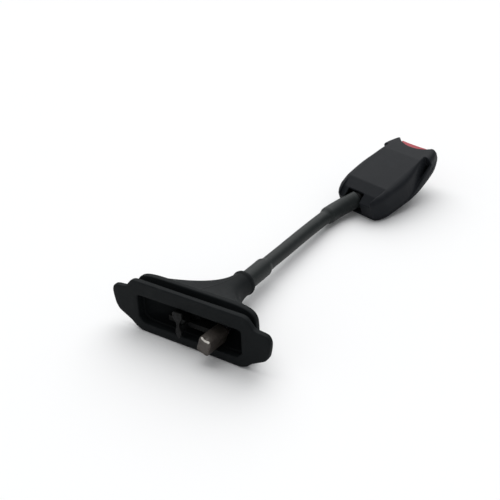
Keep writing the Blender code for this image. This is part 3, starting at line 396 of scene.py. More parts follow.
@dataclass(frozen=True)
class MattRubber:
    """Black rubber with a dry bloom, fine pitting and paler rubbed edges."""

    name: str
    colour: Colour
    bloom: Colour
    roughness: float = 0.60
    pitting: float = 0.0007
    pitting_depth: float = 0.00007
    smear_stretch: Triple = (70.0, 190.0, 190.0)
    smear_turn: Triple = (0.0, 0.3, 0.3)
    smear_depth: float = 0.00012
    mottle: float = 0.026
    fine: float = 0.0006
    fine_share: float = 0.6
    broad_share: float = 0.6
    bloomed: Pair = (0.44, 0.68)
    bloom_strength: float = 0.5
    rubbing: Triple = (0.5, 0.45, 1.0)
    wear: float = 0.45
    full_bloom: float = 1.2
    uneven: Pair = (0.22, 0.12)
    gloss: float = 0.18

    def build(self) -> bpy.types.Material:
        """Pitting from scattered cells, bloom from a broad and a smeared noise, wear on edges.

        Returns:
            The material.
        """
        g = Graph(bpy.data.materials.new(self.name))
        broad = g.noise(self.mottle, detail=5.0, rough=0.6, bend=0.3)
        where = g.stretched(self.smear_stretch, self.smear_turn)
        smear = g.noise(1.0, rough=0.6, bend=0.4, where=where)
        pits = g.cells(self.pitting)
        fine = g.noise(self.fine, rough=0.65)
        bloom = broad.blend(smear, self.broad_share).step(*self.bloomed) * self.bloom_strength
        worn = g.edges(smear, *self.rubbing) * self.wear
        colour = g.mix((bloom + worn).step(0.0, self.full_bloom), self.colour, self.bloom)
        roughness = g.uneven(self.roughness, (broad, fine), self.uneven)
        coarse = g.bump(smear, self.smear_depth)
        normal = g.bump(fine.blend(pits, self.fine_share), self.pitting_depth, coarse)
        return g.finish(colour, roughness, self.gloss, normal)


@dataclass(frozen=True)
class ShrunkSleeve:
    """Heat-shrunk tube: satin, with faint lengthwise drawing lines, handling marks and scuffs."""

    name: str
    colour: Colour
    scuff: Colour
    roughness: float = 0.40
    lines_around: float = 26.0
    lines_along: float = 18.0
    patch: float = 0.0075
    patch_depth: float = 0.00010
    speck: float = 0.0011
    speck_depth: float = 0.00003
    patch_share: float = 0.7
    drawn_share: float = 0.7
    scuffed: Pair = (0.52, 0.66)
    scuff_strength: float = 0.55
    scuff_roughness: float = 0.16
    uneven: float = 0.14
    gloss: float = 0.28

    def build(self) -> bpy.types.Material:
        """Lines from noise that is fine round the tube and long along it, scuffs from a patchy noise.

        Returns:
            The material.
        """
        g = Graph(bpy.data.materials.new(self.name))
        lines = g.node("ShaderNodeCombineXYZ", {}, {"X": g.attribute("around") * self.lines_around,
                                                    "Y": g.attribute("along") * self.lines_along, "Z": 0.0})
        drawn = g.noise(1.0, rough=0.6, where=lines)
        patch = g.noise(self.patch, detail=5.0, rough=0.65, bend=0.6)
        speck = g.noise(self.speck, rough=0.6)
        scuffs = patch.blend(speck, self.patch_share).step(*self.scuffed)
        colour = g.mix(scuffs * self.scuff_strength, self.colour, self.scuff)
        roughness = self.roughness + scuffs * self.scuff_roughness + drawn.swing(self.uneven)
        coarse = g.bump(drawn.blend(patch, self.drawn_share), self.patch_depth)
        return g.finish(colour, roughness, self.gloss, g.bump(speck, self.speck_depth, coarse))


@dataclass(frozen=True)
class WorkedSteel:
    """Pressed or drawn steel: rolling lines, cloudy oil stain, pits and brighter rubbed edges, which the
    ferrule's top front edge also uses as a painted highlight.
    """

    name: str
    colour: Colour
    stain: Colour
    rubbed: Colour
    roughness: float = 0.36
    metallic: float = 1.0
    line_turn: Triple = (0.0, 0.0, 0.26)
    line_stretch: Triple = (2600.0, 120.0, 2600.0)
    line_depth: float = 0.00004
    cloud: float = 0.0048
    cloud_depth: float = 0.00005
    pitting: float = 0.0014
    pit_edge: Pair = (0.05, 0.24)
    stained: Pair = (0.42, 0.66)
    rubbing: Triple = (0.6, 0.35, 0.85)
    stain_strength: float = 0.75
    rubbed_strength: float = 0.8
    stain_roughness: float = 0.16
    line_roughness: float = 0.18
    pit_roughness: float = 0.10
    polish: float = 0.08
    line_relief: float = 0.8
    pit_relief: float = 0.5
    gloss: float = 0.5

    def build(self) -> bpy.types.Material:
        """Rolling lines from a stretched noise, stain from broad noise, pits from scattered cells.

        Returns:
            The material.
        """
        g = Graph(bpy.data.materials.new(self.name))
        rolled = g.noise(1.0, rough=0.6, where=g.stretched(self.line_stretch, self.line_turn))
        cloud = g.noise(self.cloud, detail=5.0, rough=0.62, bend=0.5)
        pits = 1.0 - g.cells(self.pitting).step(*self.pit_edge)
        stain = cloud.step(*self.stained)
        # Edge value: rubbed wear, and on the ferrule's top front edge a painted highlight.
        rubbed = g.edges(cloud, *self.rubbing)
        dull = g.mix(stain * self.stain_strength, self.colour, self.stain)
        colour = g.mix(rubbed * self.rubbed_strength, dull, self.rubbed)
        roughness = (self.roughness + stain * self.stain_roughness + rolled.swing(self.line_roughness)
                     + pits * self.pit_roughness - rubbed * self.polish)
        coarse = g.bump(cloud, self.cloud_depth)
        normal = g.bump(rolled * self.line_relief - pits * self.pit_relief, self.line_depth, coarse)
        return g.finish(colour, roughness, self.gloss, normal, self.metallic)


@dataclass(frozen=True)
class FinishSet:
    """Every finish of the buckle."""

    cover: MouldedPlastic = MouldedPlastic(
        "cover_satin_black", colour=(0.0142, 0.0158, 0.0185), worn=(0.030, 0.032, 0.037), gloss=0.07)
    button: MouldedPlastic = MouldedPlastic(
        "button_satin_red", colour=(0.40, 0.030, 0.045), worn=(0.52, 0.12, 0.14), roughness=0.34,
        grain=0.0004, grain_depth=0.00002, wear=0.45)
    ejector: MouldedPlastic = MouldedPlastic(
        "ejector_natural", colour=(0.30, 0.30, 0.28), worn=(0.40, 0.40, 0.38), roughness=0.45)
    boot: MattRubber = MattRubber(
        "boot_matt_rubber", colour=(0.0082, 0.0098, 0.0106), bloom=(0.018, 0.020, 0.021), gloss=0.07)
    sleeve: ShrunkSleeve = ShrunkSleeve(
        "sleeve_satin_shrink", colour=(0.0145, 0.0175, 0.0175), scuff=(0.034, 0.040, 0.040), gloss=0.15)
    steel: WorkedSteel = WorkedSteel(
        "steel_pressed", colour=(0.19, 0.175, 0.155), stain=(0.105, 0.092, 0.080), rubbed=(0.88, 0.85, 0.80))
    # The ferrule's pale rubbed colour is wear on its corners and a painted highlight along the top of its front
    # edge.
    ferrule: WorkedSteel = WorkedSteel(
        "steel_stained", colour=(0.066, 0.057, 0.050), stain=(0.040, 0.034, 0.029), rubbed=(0.80, 0.77, 0.71),
        roughness=0.42, metallic=0.40)
    black_steel: WorkedSteel = WorkedSteel(
        "steel_black_coated", colour=(0.0090, 0.0095, 0.0100), stain=(0.005, 0.005, 0.005),
        rubbed=(0.026, 0.026, 0.026), roughness=0.55, metallic=0.10, gloss=0.15)
    wire: WorkedSteel = WorkedSteel(
        "steel_drawn_wire", colour=(0.52, 0.52, 0.52), stain=(0.34, 0.33, 0.32), rubbed=(0.70, 0.70, 0.70),
        roughness=0.28, line_turn=(0.0, 0.0, 0.0))

    def build(self) -> Dict[str, bpy.types.Material]:
        """Builds every finish, by the name of its field."""
        return {item.name: getattr(self, item.name).build() for item in fields(self)}


# Surfaces


def smooth_step(value: np.ndarray) -> np.ndarray:
    """Smooth step from 0 to 1 for values from 0 to 1: 3v^2 - 2v^3."""
    value = np.clip(value, 0.0, 1.0)
    return value * value * (3.0 - 2.0 * value)


def full_turn(count: int) -> np.ndarray:
    """Evenly spaced angles round a circle, in radians."""
    return np.linspace(0.0, 2.0 * np.pi, count, endpoint=False)


def quarter_turn(count: int) -> np.ndarray:
    """Evenly spaced angles from 0 to a right angle, in radians."""
    return np.linspace(0.0, 0.5 * np.pi, count)


def superellipse(turns: np.ndarray, half: float, tall: float, power: float) -> np.ndarray:
    """Radius by direction of a squared oval: (|cos/a|^n + |sin/b|^n)^(-1/n).

    Args:
        turns: directions in radians.
        half: half of the width.
        tall: half of the height.
        power: 2 for an ellipse, more for squarer corners.

    Returns:
        One radius per direction.
    """
    return (np.abs(np.cos(turns) / half) ** power + np.abs(np.sin(turns) / tall) ** power) ** (-1.0 / power)


def placed(name: str, data: bpy.types.ID) -> bpy.types.Object:
    """Adds an object to the scene.

    Args:
        name: name of the object.
        data: its mesh, camera or lamp.

    Returns:
        The object.
    """
    thing = bpy.data.objects.new(name, data)
    bpy.context.scene.collection.objects.link(thing)
    return thing


def point_vectors(mesh: bpy.types.Mesh, word: str) -> np.ndarray:
    """Reads one vector per point of a mesh.

    Args:
        mesh: the mesh.
        word: "co" for positions or "normal" for normals.

    Returns:
        Points x 3 numbers.
    """
    flat = np.empty(len(mesh.vertices) * 3)
    mesh.vertices.foreach_get(word, flat)
    return flat.reshape(-1, 3)


def store(mesh: bpy.types.Mesh, word: str, numbers: np.ndarray) -> None:
    """Stores one number per point of a mesh under a name."""
    mesh.attributes.new(word, "FLOAT", "POINT").data.foreach_set("value", numbers.astype(np.float32).ravel())


def grid_mesh(name: str, points: np.ndarray, close_rows: bool,
              values: Dict[str, np.ndarray]) -> bpy.types.Mesh:
    """Joins a grid of points into quads; columns always close on themselves.

    Args:
        name: name of the mesh.
        points: rows x columns x 3 positions, in metres.
        close_rows: True to join the last row to the first, False to cap both ends.
        values: numbers to store on the points, by attribute name.

    Returns:
        The mesh, with smooth faces that point outwards.
    """
    rows, columns = points.shape[:2]
    row = np.arange(rows if close_rows else rows - 1)[:, None]
    column = np.arange(columns)[None, :]
    after, beside = (row + 1) % rows, (column + 1) % columns
    quads = np.stack([row * columns + column, row * columns + beside, after * columns + beside,
                      after * columns + column], axis=-1).reshape(-1, 4)
    faces = quads.tolist()
    if not close_rows:
        faces += [list(range(columns))[::-1], list(range((rows - 1) * columns, rows * columns))]
    mesh = bpy.data.meshes.new(name)
    mesh.from_pydata(points.reshape(-1, 3).tolist(), [], faces)
    for word, numbers in values.items():
        store(mesh, word, np.broadcast_to(numbers, (rows, columns)))
    turn_outwards(mesh)
    mesh.shade_smooth()
    return mesh


def turn_outwards(mesh: bpy.types.Mesh) -> None:
    """Makes the faces of a closed mesh point outwards.

    Args:
        mesh: the mesh, changed in place.
    """
    shape = bmesh.new()
    shape.from_mesh(mesh)
    bmesh.ops.recalc_face_normals(shape, faces=shape.faces)
    shape.to_mesh(mesh)
    shape.free()


def neighbour_mean(points: np.ndarray, edges: np.ndarray, degree: np.ndarray) -> np.ndarray:
    """Mean of each point's neighbours along the edges.

    Args:
        points: point positions.
        edges: pairs of point numbers.
        degree: number of neighbours of each point.

    Returns:
        One mean position per point.
    """
    total = np.zeros_like(points)
    for axis in range(3):
        total[:, axis] = np.bincount(edges[:, 0], points[edges[:, 1], axis], len(points))
        total[:, axis] += np.bincount(edges[:, 1], points[edges[:, 0], axis], len(points))
    return total / degree[:, None]


def merged_copy(node: bpy.types.Object) -> bpy.types.Mesh:
    """Copy of a CAD node's mesh with its loose triangles joined.

    Args:
        node: the CAD node.

    Returns:
        The copy, smooth and without a material.
    """
    mesh = node.data.copy()
    shape = bmesh.new()
    shape.from_mesh(mesh)
    bmesh.ops.remove_doubles(shape, verts=shape.verts, dist=1e-6)
    shape.to_mesh(mesh)
    shape.free()
    mesh.materials.clear()
    mesh.shade_smooth()
    return mesh


@dataclass(frozen=True)
class Softener:
    """Even copy of a CAD solid with its edges rounded.

    The solid is covered with cubes of the voxel's size. Then each pass moves every point the ease share of
    the way to the mean of its neighbours and the restore share of the way back, which rounds edges but keeps
    flats and sizes. A point's edge value is how far it stands out of a broader smoothing, plus part of how
    far it sank on the way.
    """

    voxel: float
    passes: int
    ease: float = 0.50
    restore: float = 0.52
    broad_passes: int = 4
    broad_ease: float = 0.6
    sunk_share: float = 0.3
    full_edge: float = 0.35

    def even(self, node: bpy.types.Object) -> bpy.types.Mesh:
        """Covers a CAD node with an even mesh.

        Args:
            node: the CAD node.

        Returns:
            The even mesh, without a material.
        """
        work = placed(node.name + "_work", merged_copy(node))
        cover = work.modifiers.new("even", "REMESH")
        cover.mode = "VOXEL"
        cover.voxel_size = self.voxel
        bpy.context.view_layer.update()
        graph = bpy.context.evaluated_depsgraph_get()
        mesh = bpy.data.meshes.new_from_object(work.evaluated_get(graph))
        bpy.data.objects.remove(work)
        mesh.materials.clear()
        return mesh

    def mesh(self, node: bpy.types.Object) -> bpy.types.Mesh:
        """Makes the softened copy of a CAD node.

        Args:
            node: the CAD node.

        Returns:
            The new mesh, with the attribute "edge" from 0 to 1.
        """
        mesh = self.even(node)
        sharp = points = point_vectors(mesh, "co")
        edges = np.empty(len(mesh.edges) * 2, np.int64)
        mesh.edges.foreach_get("vertices", edges)
        degree = np.bincount(edges, minlength=len(points)).astype(float)
        edges = edges.reshape(-1, 2)
        for _ in range(self.passes):
            points = points + self.ease * (neighbour_mean(points, edges, degree) - points)
            points = points - self.restore * (neighbour_mean(points, edges, degree) - points)
        broad = points
        for _ in range(self.broad_passes):
            broad = broad + self.broad_ease * (neighbour_mean(broad, edges, degree) - broad)
        mesh.vertices.foreach_set("co", points.ravel())
        mesh.update()
        moved = points - broad + self.sunk_share * (sharp - points)
        sink = np.einsum("ij,ij->i", moved, point_vectors(mesh, "normal"))
        store(mesh, "edge", np.clip(sink / (self.full_edge * self.voxel), 0.0, 1.0))
        mesh.shade_smooth()
        return mesh


@dataclass
class Maker:
    """Turns meshes into pieces that ride on a body and stand for CAD nodes."""

    frame: Dict[str, object]

    def piece(self, name: str, mesh: bpy.types.Mesh, finish: bpy.types.Material, body: Body,
              node: str) -> bpy.types.Object:
        """Adds a piece to the scene.

        Args:
            name: name of the piece.
            mesh: its mesh, in place.
            finish: its material.
            body: the body it rides on.
            node: the CAD node it stands for.

        Returns:
            The piece's object.
        """
        thing = placed(name, mesh)
        mesh.materials.append(finish)
        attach(thing, body.value)
        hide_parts(node)
        LOG.info("piece %s: %d faces on %s", name, len(mesh.polygons), body.value)
        return thing

    def soften(self, node: str, softener: Softener, finish: bpy.types.Material, body: Body) -> bpy.types.Object:
        """Replaces a CAD node by its softened copy."""
        mesh = softener.mesh(self.frame["nodes"][node])
        return self.piece(node + "_moulded", mesh, finish, body, node)

    def dress(self, node: str, finish: bpy.types.Material) -> None:
        """Gives a CAD node its finish.

        Args:
            node: name of the CAD node.
            finish: its material.
        """
        for holder in self.frame["nodes"][node].material_slots:
            holder.material = finish
        LOG.info("node %s: %s", node, finish.name)


# Rubber boot


@dataclass
class Ring:
    """One closed ring across the boot's axis: radii by direction round a centre, at a depth."""

    radii: np.ndarray
    middle: float
    depth: float
    aside: float = 0.0


@dataclass
class Boot:
    """Rubber boot in its own frame: depth along y from the flange's face, z up from its lower edge."""

    settle: Triple = (0.00136105, -0.13054916, 0.0)
    lean: float = math.radians(5.4)
    turn: float = math.radians(15.0)
    flange_thickness: float = 0.0040
    flange_height: float = 0.0392
    flange_half: float = 0.0450
    ear_reach: float = 0.0220
    ear_drop: float = 0.0078
    mouth_half: float = 0.0440
    mouth_low: float = 0.0066
    mouth_high: float = 0.0284
    mouth_corner: float = 0.0040
    mouth_top_corner: float = 0.0012
    mouth_steps: int = 4
    face_shares: Tuple[float, ...] = (0.2, 0.4, 0.6, 0.8)
    groove_width: float = 0.0046
    groove_fillet: float = 0.0006
    core_half: float = 0.0470
    core_low: float = 0.0036
    core_high: float = 0.0352
    core_power: float = 8.0
    lip_half: float = 0.0505
    lip_low: float = 0.0010
    lip_high: float = 0.0408
    lip_thickness: float = 0.0044
    lip_power: float = 6.0
    lip_round: float = 0.0012
    lip_steps: int = 6
    ledge: float = 0.0020
    funnel_length: float = 0.0455
    funnel_span: Pair = (0.004, 0.985)
    funnel_rings: int = 54
    side_curve: float = 2.3
    top_curve: float = 1.5
    squareness: float = 4.0
    square_curve: float = 1.5
    bead_radius: float = 0.0095
    bead_length: float = 0.0050
    bead_swell: float = 0.0007
    bead_round: float = 0.0013
    bead_crest: float = 0.5
    bead_rings: int = 17
    bead_crowding: float = 1.5
    neck_aside: float = 0.0020
    wall: float = 0.0032
    bore: float = 0.0073
    bore_edge: float = 0.0004
    hollow_power: float = 7.0
    hollow_rings: int = 40
    hollow_corner: Triple = (0.0010, 0.0004, 0.0001)
    mouth_lip: float = 0.0005
    edge_round: float = 0.0009
    edge_steps: int = 5
    seam: float = 0.00016
    seam_width: float = 0.035
    rubbed: float = 0.6
    rubbed_reach: float = 0.06
    columns: int = 384

    @property
    def groove_end(self) -> float:
        """Depth of the lip's front face."""
        return self.flange_thickness + self.groove_width

    @property
    def lip_end(self) -> float:
        """Depth of the lip's rear face."""
        return self.groove_end + self.lip_thickness

    @property
    def neck(self) -> float:
        """Depth at which the trumpet ends and the bead begins."""
        return self.lip_end + self.funnel_length

    @property
    def end(self) -> float:
        """Depth of the boot's rear end."""
        return self.neck + self.bead_length

    @property
    def centre(self) -> float:
        """Height of the flange's middle."""
        return 0.5 * self.flange_height

    @property
    def mouth_middle(self) -> float:
        """Height of the mouth's middle."""
        return 0.5 * (self.mouth_low + self.mouth_high)

    @property
    def core_middle(self) -> float:
        """Height of the groove's middle."""
        return 0.5 * (self.core_low + self.core_high)

    @property
    def neck_height(self) -> float:
        """Height of the neck's axis, which is the lip's middle."""
        return 0.5 * (self.lip_low + self.lip_high)

    def oval(self, half: float, low: float, high: float, power: float) -> np.ndarray:
        """Radius by direction of a squared oval between two heights."""
        return superellipse(full_turn(self.columns), half, 0.5 * (high - low), power)

    def outline_radii(self, right: Sequence[Tuple[float, float]], middle: float) -> np.ndarray:
        """Radius by direction of a mirrored outline, its corners rounded.

        Each direction's ray meets the outline where the radius of two neighbouring corners, taken along the
        straight side between them, has that direction. A running mean over three radii, weighted to the
        middle one, then rounds the corners.

        Args:
            right: corners of the right half from the lowest to the highest.
            middle: height of the centre.

        Returns:
            One radius per direction.
        """
        tiny = 1e-9
        half = np.array(right) - (0.0, middle)
        start = np.concatenate([half, half[::-1] * (-1.0, 1.0)])
        side = np.roll(start, -1, axis=0) - start
        turns = full_turn(self.columns)
        ray = np.stack([np.cos(turns), np.sin(turns)], axis=1)
        cross = ray[:, None, 0] * side[None, :, 1] - ray[:, None, 1] * side[None, :, 0]
        cross = np.where(np.abs(cross) < 1e-12, 1e-12, cross)
        reach = (start[:, 0] * side[:, 1] - start[:, 1] * side[:, 0])[None, :] / cross
        share = (start[None, :, 0] * ray[:, None, 1] - start[None, :, 1] * ray[:, None, 0]) / cross
        inside = (share >= -tiny) & (share <= 1.0 + tiny) & (reach > 0.0)
        radii = np.where(inside, reach, 0.0).max(axis=1)
        window = np.hanning(5)[1:-1] / np.hanning(5).sum()
        return np.convolve(np.concatenate([radii[-1:], radii, radii[:1]]), window, mode="valid")

    def flange_radii(self) -> np.ndarray:
        """Radius of the eared flange's outline, whose corners run from its lower edge up round an ear.

        Returns:
            One radius per direction.
        """
        base, top = self.flange_half, self.flange_height
        tip, ear = base + self.ear_reach, top - self.ear_drop
        right = [
            (base - 0.002, 0.0), (base + 0.003, 0.0022), (base + 0.0065, 0.0054), (base + 0.012, 0.0083),
            (tip - 0.0044, 0.0112), (tip - 0.0018, 0.0152), (tip - 0.0006, 0.0205), (tip, 0.0252),
            (tip - 0.0006, ear - 0.0032), (tip - 0.0024, ear - 0.0008), (tip - 0.0052, ear),
            (base + 0.0120, ear - 0.0004), (base + 0.0092, ear + 0.0006), (base + 0.0064, top - 0.0040),
            (base + 0.0040, top - 0.0012), (base + 0.0010, top),
        ]
        return self.outline_radii(right, self.centre)

    def mouth_radii(self) -> np.ndarray:
        """Radius of the mouth's outline, a box with cut corners.

        Returns:
            One radius per direction.
        """
        half, low, high = self.mouth_half, self.mouth_low, self.mouth_high
        cut, top = self.mouth_corner, self.mouth_top_corner
        right = [(half - cut, low), (half, low + cut), (half, high - top), (half - top, high)]
        return self.outline_radii(right, self.mouth_middle)

    def trumpet(self, half: float, low: float, high: float, end_radius: float, depths: np.ndarray,
                end: float, seam: float) -> List[Ring]:
        """Rings of the trumpet, whose halves shrink as powers of the share of the way left to its neck.

        Args:
            half: half width at the wide end.
            low: lowest height at the wide end.
            high: highest height at the wide end.
            end_radius: radius at the neck.
            depths: depths of the rings.
            end: depth of the neck.
            seam: height of the mould seam along top and bottom.

        Returns:
            The rings in the order of the depths.
        """
        start_middle = 0.5 * (low + high)
        seam_ridge = seam * np.exp(-((np.cos(full_turn(self.columns)) / self.seam_width) ** 2))
        rings = []
        for depth in depths:
            share = float(np.clip((end - depth) / self.funnel_length, 0.0, 1.0))
            wide = end_radius + (half - end_radius) * share ** self.side_curve
            tall = end_radius + (0.5 * (high - low) - end_radius) * share ** self.top_curve
            middle = self.neck_height + (start_middle - self.neck_height) * share ** self.top_curve
            power = 2.0 + self.squareness * share ** self.square_curve
            radii = self.oval(wide, -tall, tall, power) + seam_ridge
            rings.append(Ring(radii, middle, float(depth), self.neck_aside * (1.0 - share)))
        return rings

    def round_ring(self, radius: float, depth: float) -> Ring:
        """A round ring about the neck's axis."""
        return Ring(np.full(self.columns, radius), self.neck_height, depth, self.neck_aside)

    def bead(self, neck_radius: float) -> List[Ring]:
        """Rings of the neck's bead: a smooth step up to its crest and a quarter ellipse down to its end.

        Args:
            neck_radius: radius where the trumpet ends.

        Returns:
            The rings in the order of their depths.
        """
        share = 1.0 - (1.0 - np.linspace(0.0, 1.0, self.bead_rings)) ** self.bead_crowding
        rise = smooth_step(share / self.bead_crest)
        past = np.clip((share - self.bead_crest) / (1.0 - self.bead_crest), 0.0, 1.0)
        radii = neck_radius + self.bead_swell * rise - self.bead_round * (1.0 - np.sqrt(1.0 - past ** 2))
        return [self.round_ring(radius, self.neck + self.bead_length * part)
                for radius, part in zip(radii, share)]

    @staticmethod
    def rounded(radii: np.ndarray, middle: float, front: float, back: float, radius: float,
                steps: int) -> List[Ring]:
        """Rings over a plate's rounded outer edge, from its front face to its back face.

        Args:
            radii: the plate's outline by direction.
            middle: height of the centre.
            front: depth of the front face.
            back: depth of the back face.
            radius: radius of both edges.
            steps: number of rings on each edge.

        Returns:
            The rings from front to back.
        """
        turns = quarter_turn(steps)
        rise, fall = radius * (1.0 - np.sin(turns)), radius * (1.0 - np.cos(turns))
        first = [Ring(radii - inset, middle, front + depth) for inset, depth in zip(rise, fall)]
        last = [Ring(radii - inset, middle, back - depth) for inset, depth in zip(fall, rise)]
        return first + last

    def face_rings(self, mouth: np.ndarray, flange: np.ndarray) -> List[Ring]:
        """Rings over the mouth's rounded edge and across the flange's face.

        Args:
            mouth: the mouth's outline by direction.
            flange: the flange's outline by direction.

        Returns:
            The rings from the mouth outwards.
        """
        soft = self.edge_round
        made = [Ring(mouth + soft * (1.0 - math.cos(t)), self.mouth_middle, soft * (1.0 - math.sin(t)))
                for t in quarter_turn(self.mouth_steps)]
        for share in self.face_shares:
            shift = self.mouth_middle + (self.centre - self.mouth_middle) * share
            made.append(Ring(mouth + soft + (flange - 2.0 * soft - mouth) * share, shift, 0.0))
        return made

    def groove_rings(self, flange: np.ndarray) -> List[Ring]:
        """Rings down the flange's back, along the groove's floor and up to the lip, with small fillets.

        Args:
            flange: the flange's outline by direction.

        Returns:
            The rings from front to back.
        """
        core = self.oval(self.core_half, self.core_low, self.core_high, self.core_power)
        fillet = self.groove_fillet
        bends = ((fillet, 0.0), (fillet / 3.0, fillet / 3.0), (0.0, fillet))
        made = [Ring(0.5 * (flange + core), 0.5 * (self.centre + self.core_middle), self.flange_thickness)]
        made += [Ring(core + out, self.core_middle, self.flange_thickness + gap) for out, gap in bends]
        return made + [Ring(core + out, self.core_middle, self.groove_end - gap) for out, gap in bends[::-1]]

    def inner_rings(self, mouth: np.ndarray) -> List[Ring]:
        """Rings back inside: the neck's bore, the hollow and the wall behind the mouth.

        Args:
            mouth: the mouth's outline by direction.

        Returns:
            The rings from the neck's end to the mouth.
        """
        inner_end = self.neck - self.wall
        made = [self.round_ring(self.bore + self.bore_edge, self.end)]
        made += [self.round_ring(self.bore, depth)
                 for depth in (self.end - self.bore_edge, self.neck, inner_end)]
        hollow = (self.core_half - self.wall, self.core_low + self.wall, self.core_high - self.wall)
        back = np.linspace(inner_end, self.lip_end, self.hollow_rings)[1:]
        made += self.trumpet(*hollow, self.bore, back, inner_end, 0.0)
        start = self.flange_thickness + 0.5 * self.groove_width
        skin = self.oval(*hollow, self.hollow_power)
        rise, cut, gap = self.hollow_corner
        made += [Ring(skin, self.core_middle, start + rise), Ring(skin - cut, self.core_middle, start + gap)]
        return made + [Ring(mouth, self.mouth_middle, depth)
                       for depth in (start, start - self.mouth_lip, 2.0 * self.edge_round)]

    def rings(self) -> List[Ring]:
        """Every ring of the boot's skin: mouth, flange, groove, lip, trumpet and bead, and back inside.

        Returns:
            The rings in order; the last one joins the first.
        """
        mouth, flange = self.mouth_radii(), self.flange_radii()
        lip = self.oval(self.lip_half, self.lip_low, self.lip_high, self.lip_power)
        neck_radius = self.bead_radius - self.bead_swell
        along = self.lip_end + self.funnel_length * np.linspace(*self.funnel_span, self.funnel_rings)
        made = self.face_rings(mouth, flange)
        made += self.rounded(flange, self.centre, 0.0, self.flange_thickness, self.edge_round,
                             self.edge_steps)
        made += self.groove_rings(flange)
        made += self.rounded(lip, self.neck_height, self.groove_end, self.lip_end, self.lip_round,
                             self.lip_steps)
        made += self.trumpet(self.lip_half - self.ledge, self.lip_low + self.ledge,
                             self.lip_high - self.ledge, neck_radius, along, self.neck, self.seam)
        return made + self.bead(neck_radius) + self.inner_rings(mouth)

    def matrix(self) -> Matrix:
        """Turns the boot's own frame into the row frame.

        Returns:
            The matrix that settles, turns and leans the boot.
        """
        lift = Vector((0.0, 0.0, self.flange_thickness * math.sin(self.lean)))
        turned = Matrix.Rotation(self.turn, 4, "Z") @ Matrix.Rotation(-self.lean, 4, "X")
        return Matrix.Translation(Vector(self.settle) + lift) @ turned

    def in_row_frame(self, points: np.ndarray) -> np.ndarray:
        """Carries points from the boot's own frame into the row frame."""
        place = np.array(self.matrix())
        return points @ place[:3, :3].T + place[:3, 3]

    def mesh(self) -> bpy.types.Mesh:
        """The boot's skin: point = centre + radius(direction) across, depth along y.

        Returns:
            The closed mesh, with the attribute "edge" on the flange's outermost rings.
        """
        rings = self.rings()
        turns = full_turn(self.columns)[None, :]
        radii = np.stack([ring.radii for ring in rings])
        places = np.array([(ring.aside, ring.middle, ring.depth) for ring in rings])
        aside, middle, depth = places.T[:, :, None]
        points = np.stack([aside + radii * np.cos(turns), depth + 0.0 * turns,
                           middle + radii * np.sin(turns)], axis=-1)
        outer = (depth < self.edge_round) & (radii.max(axis=1, keepdims=True) > self.rubbed_reach)
        return grid_mesh("rubber_boot_skin", self.in_row_frame(points), True, {"edge": outer * self.rubbed})

    def build(self, maker: Maker, finish: bpy.types.Material) -> None:
        """Adds the boot."""
        maker.piece("rubber_boot_skin", self.mesh(), finish, Body.CASING, "rubber_boot")


# Ferrule


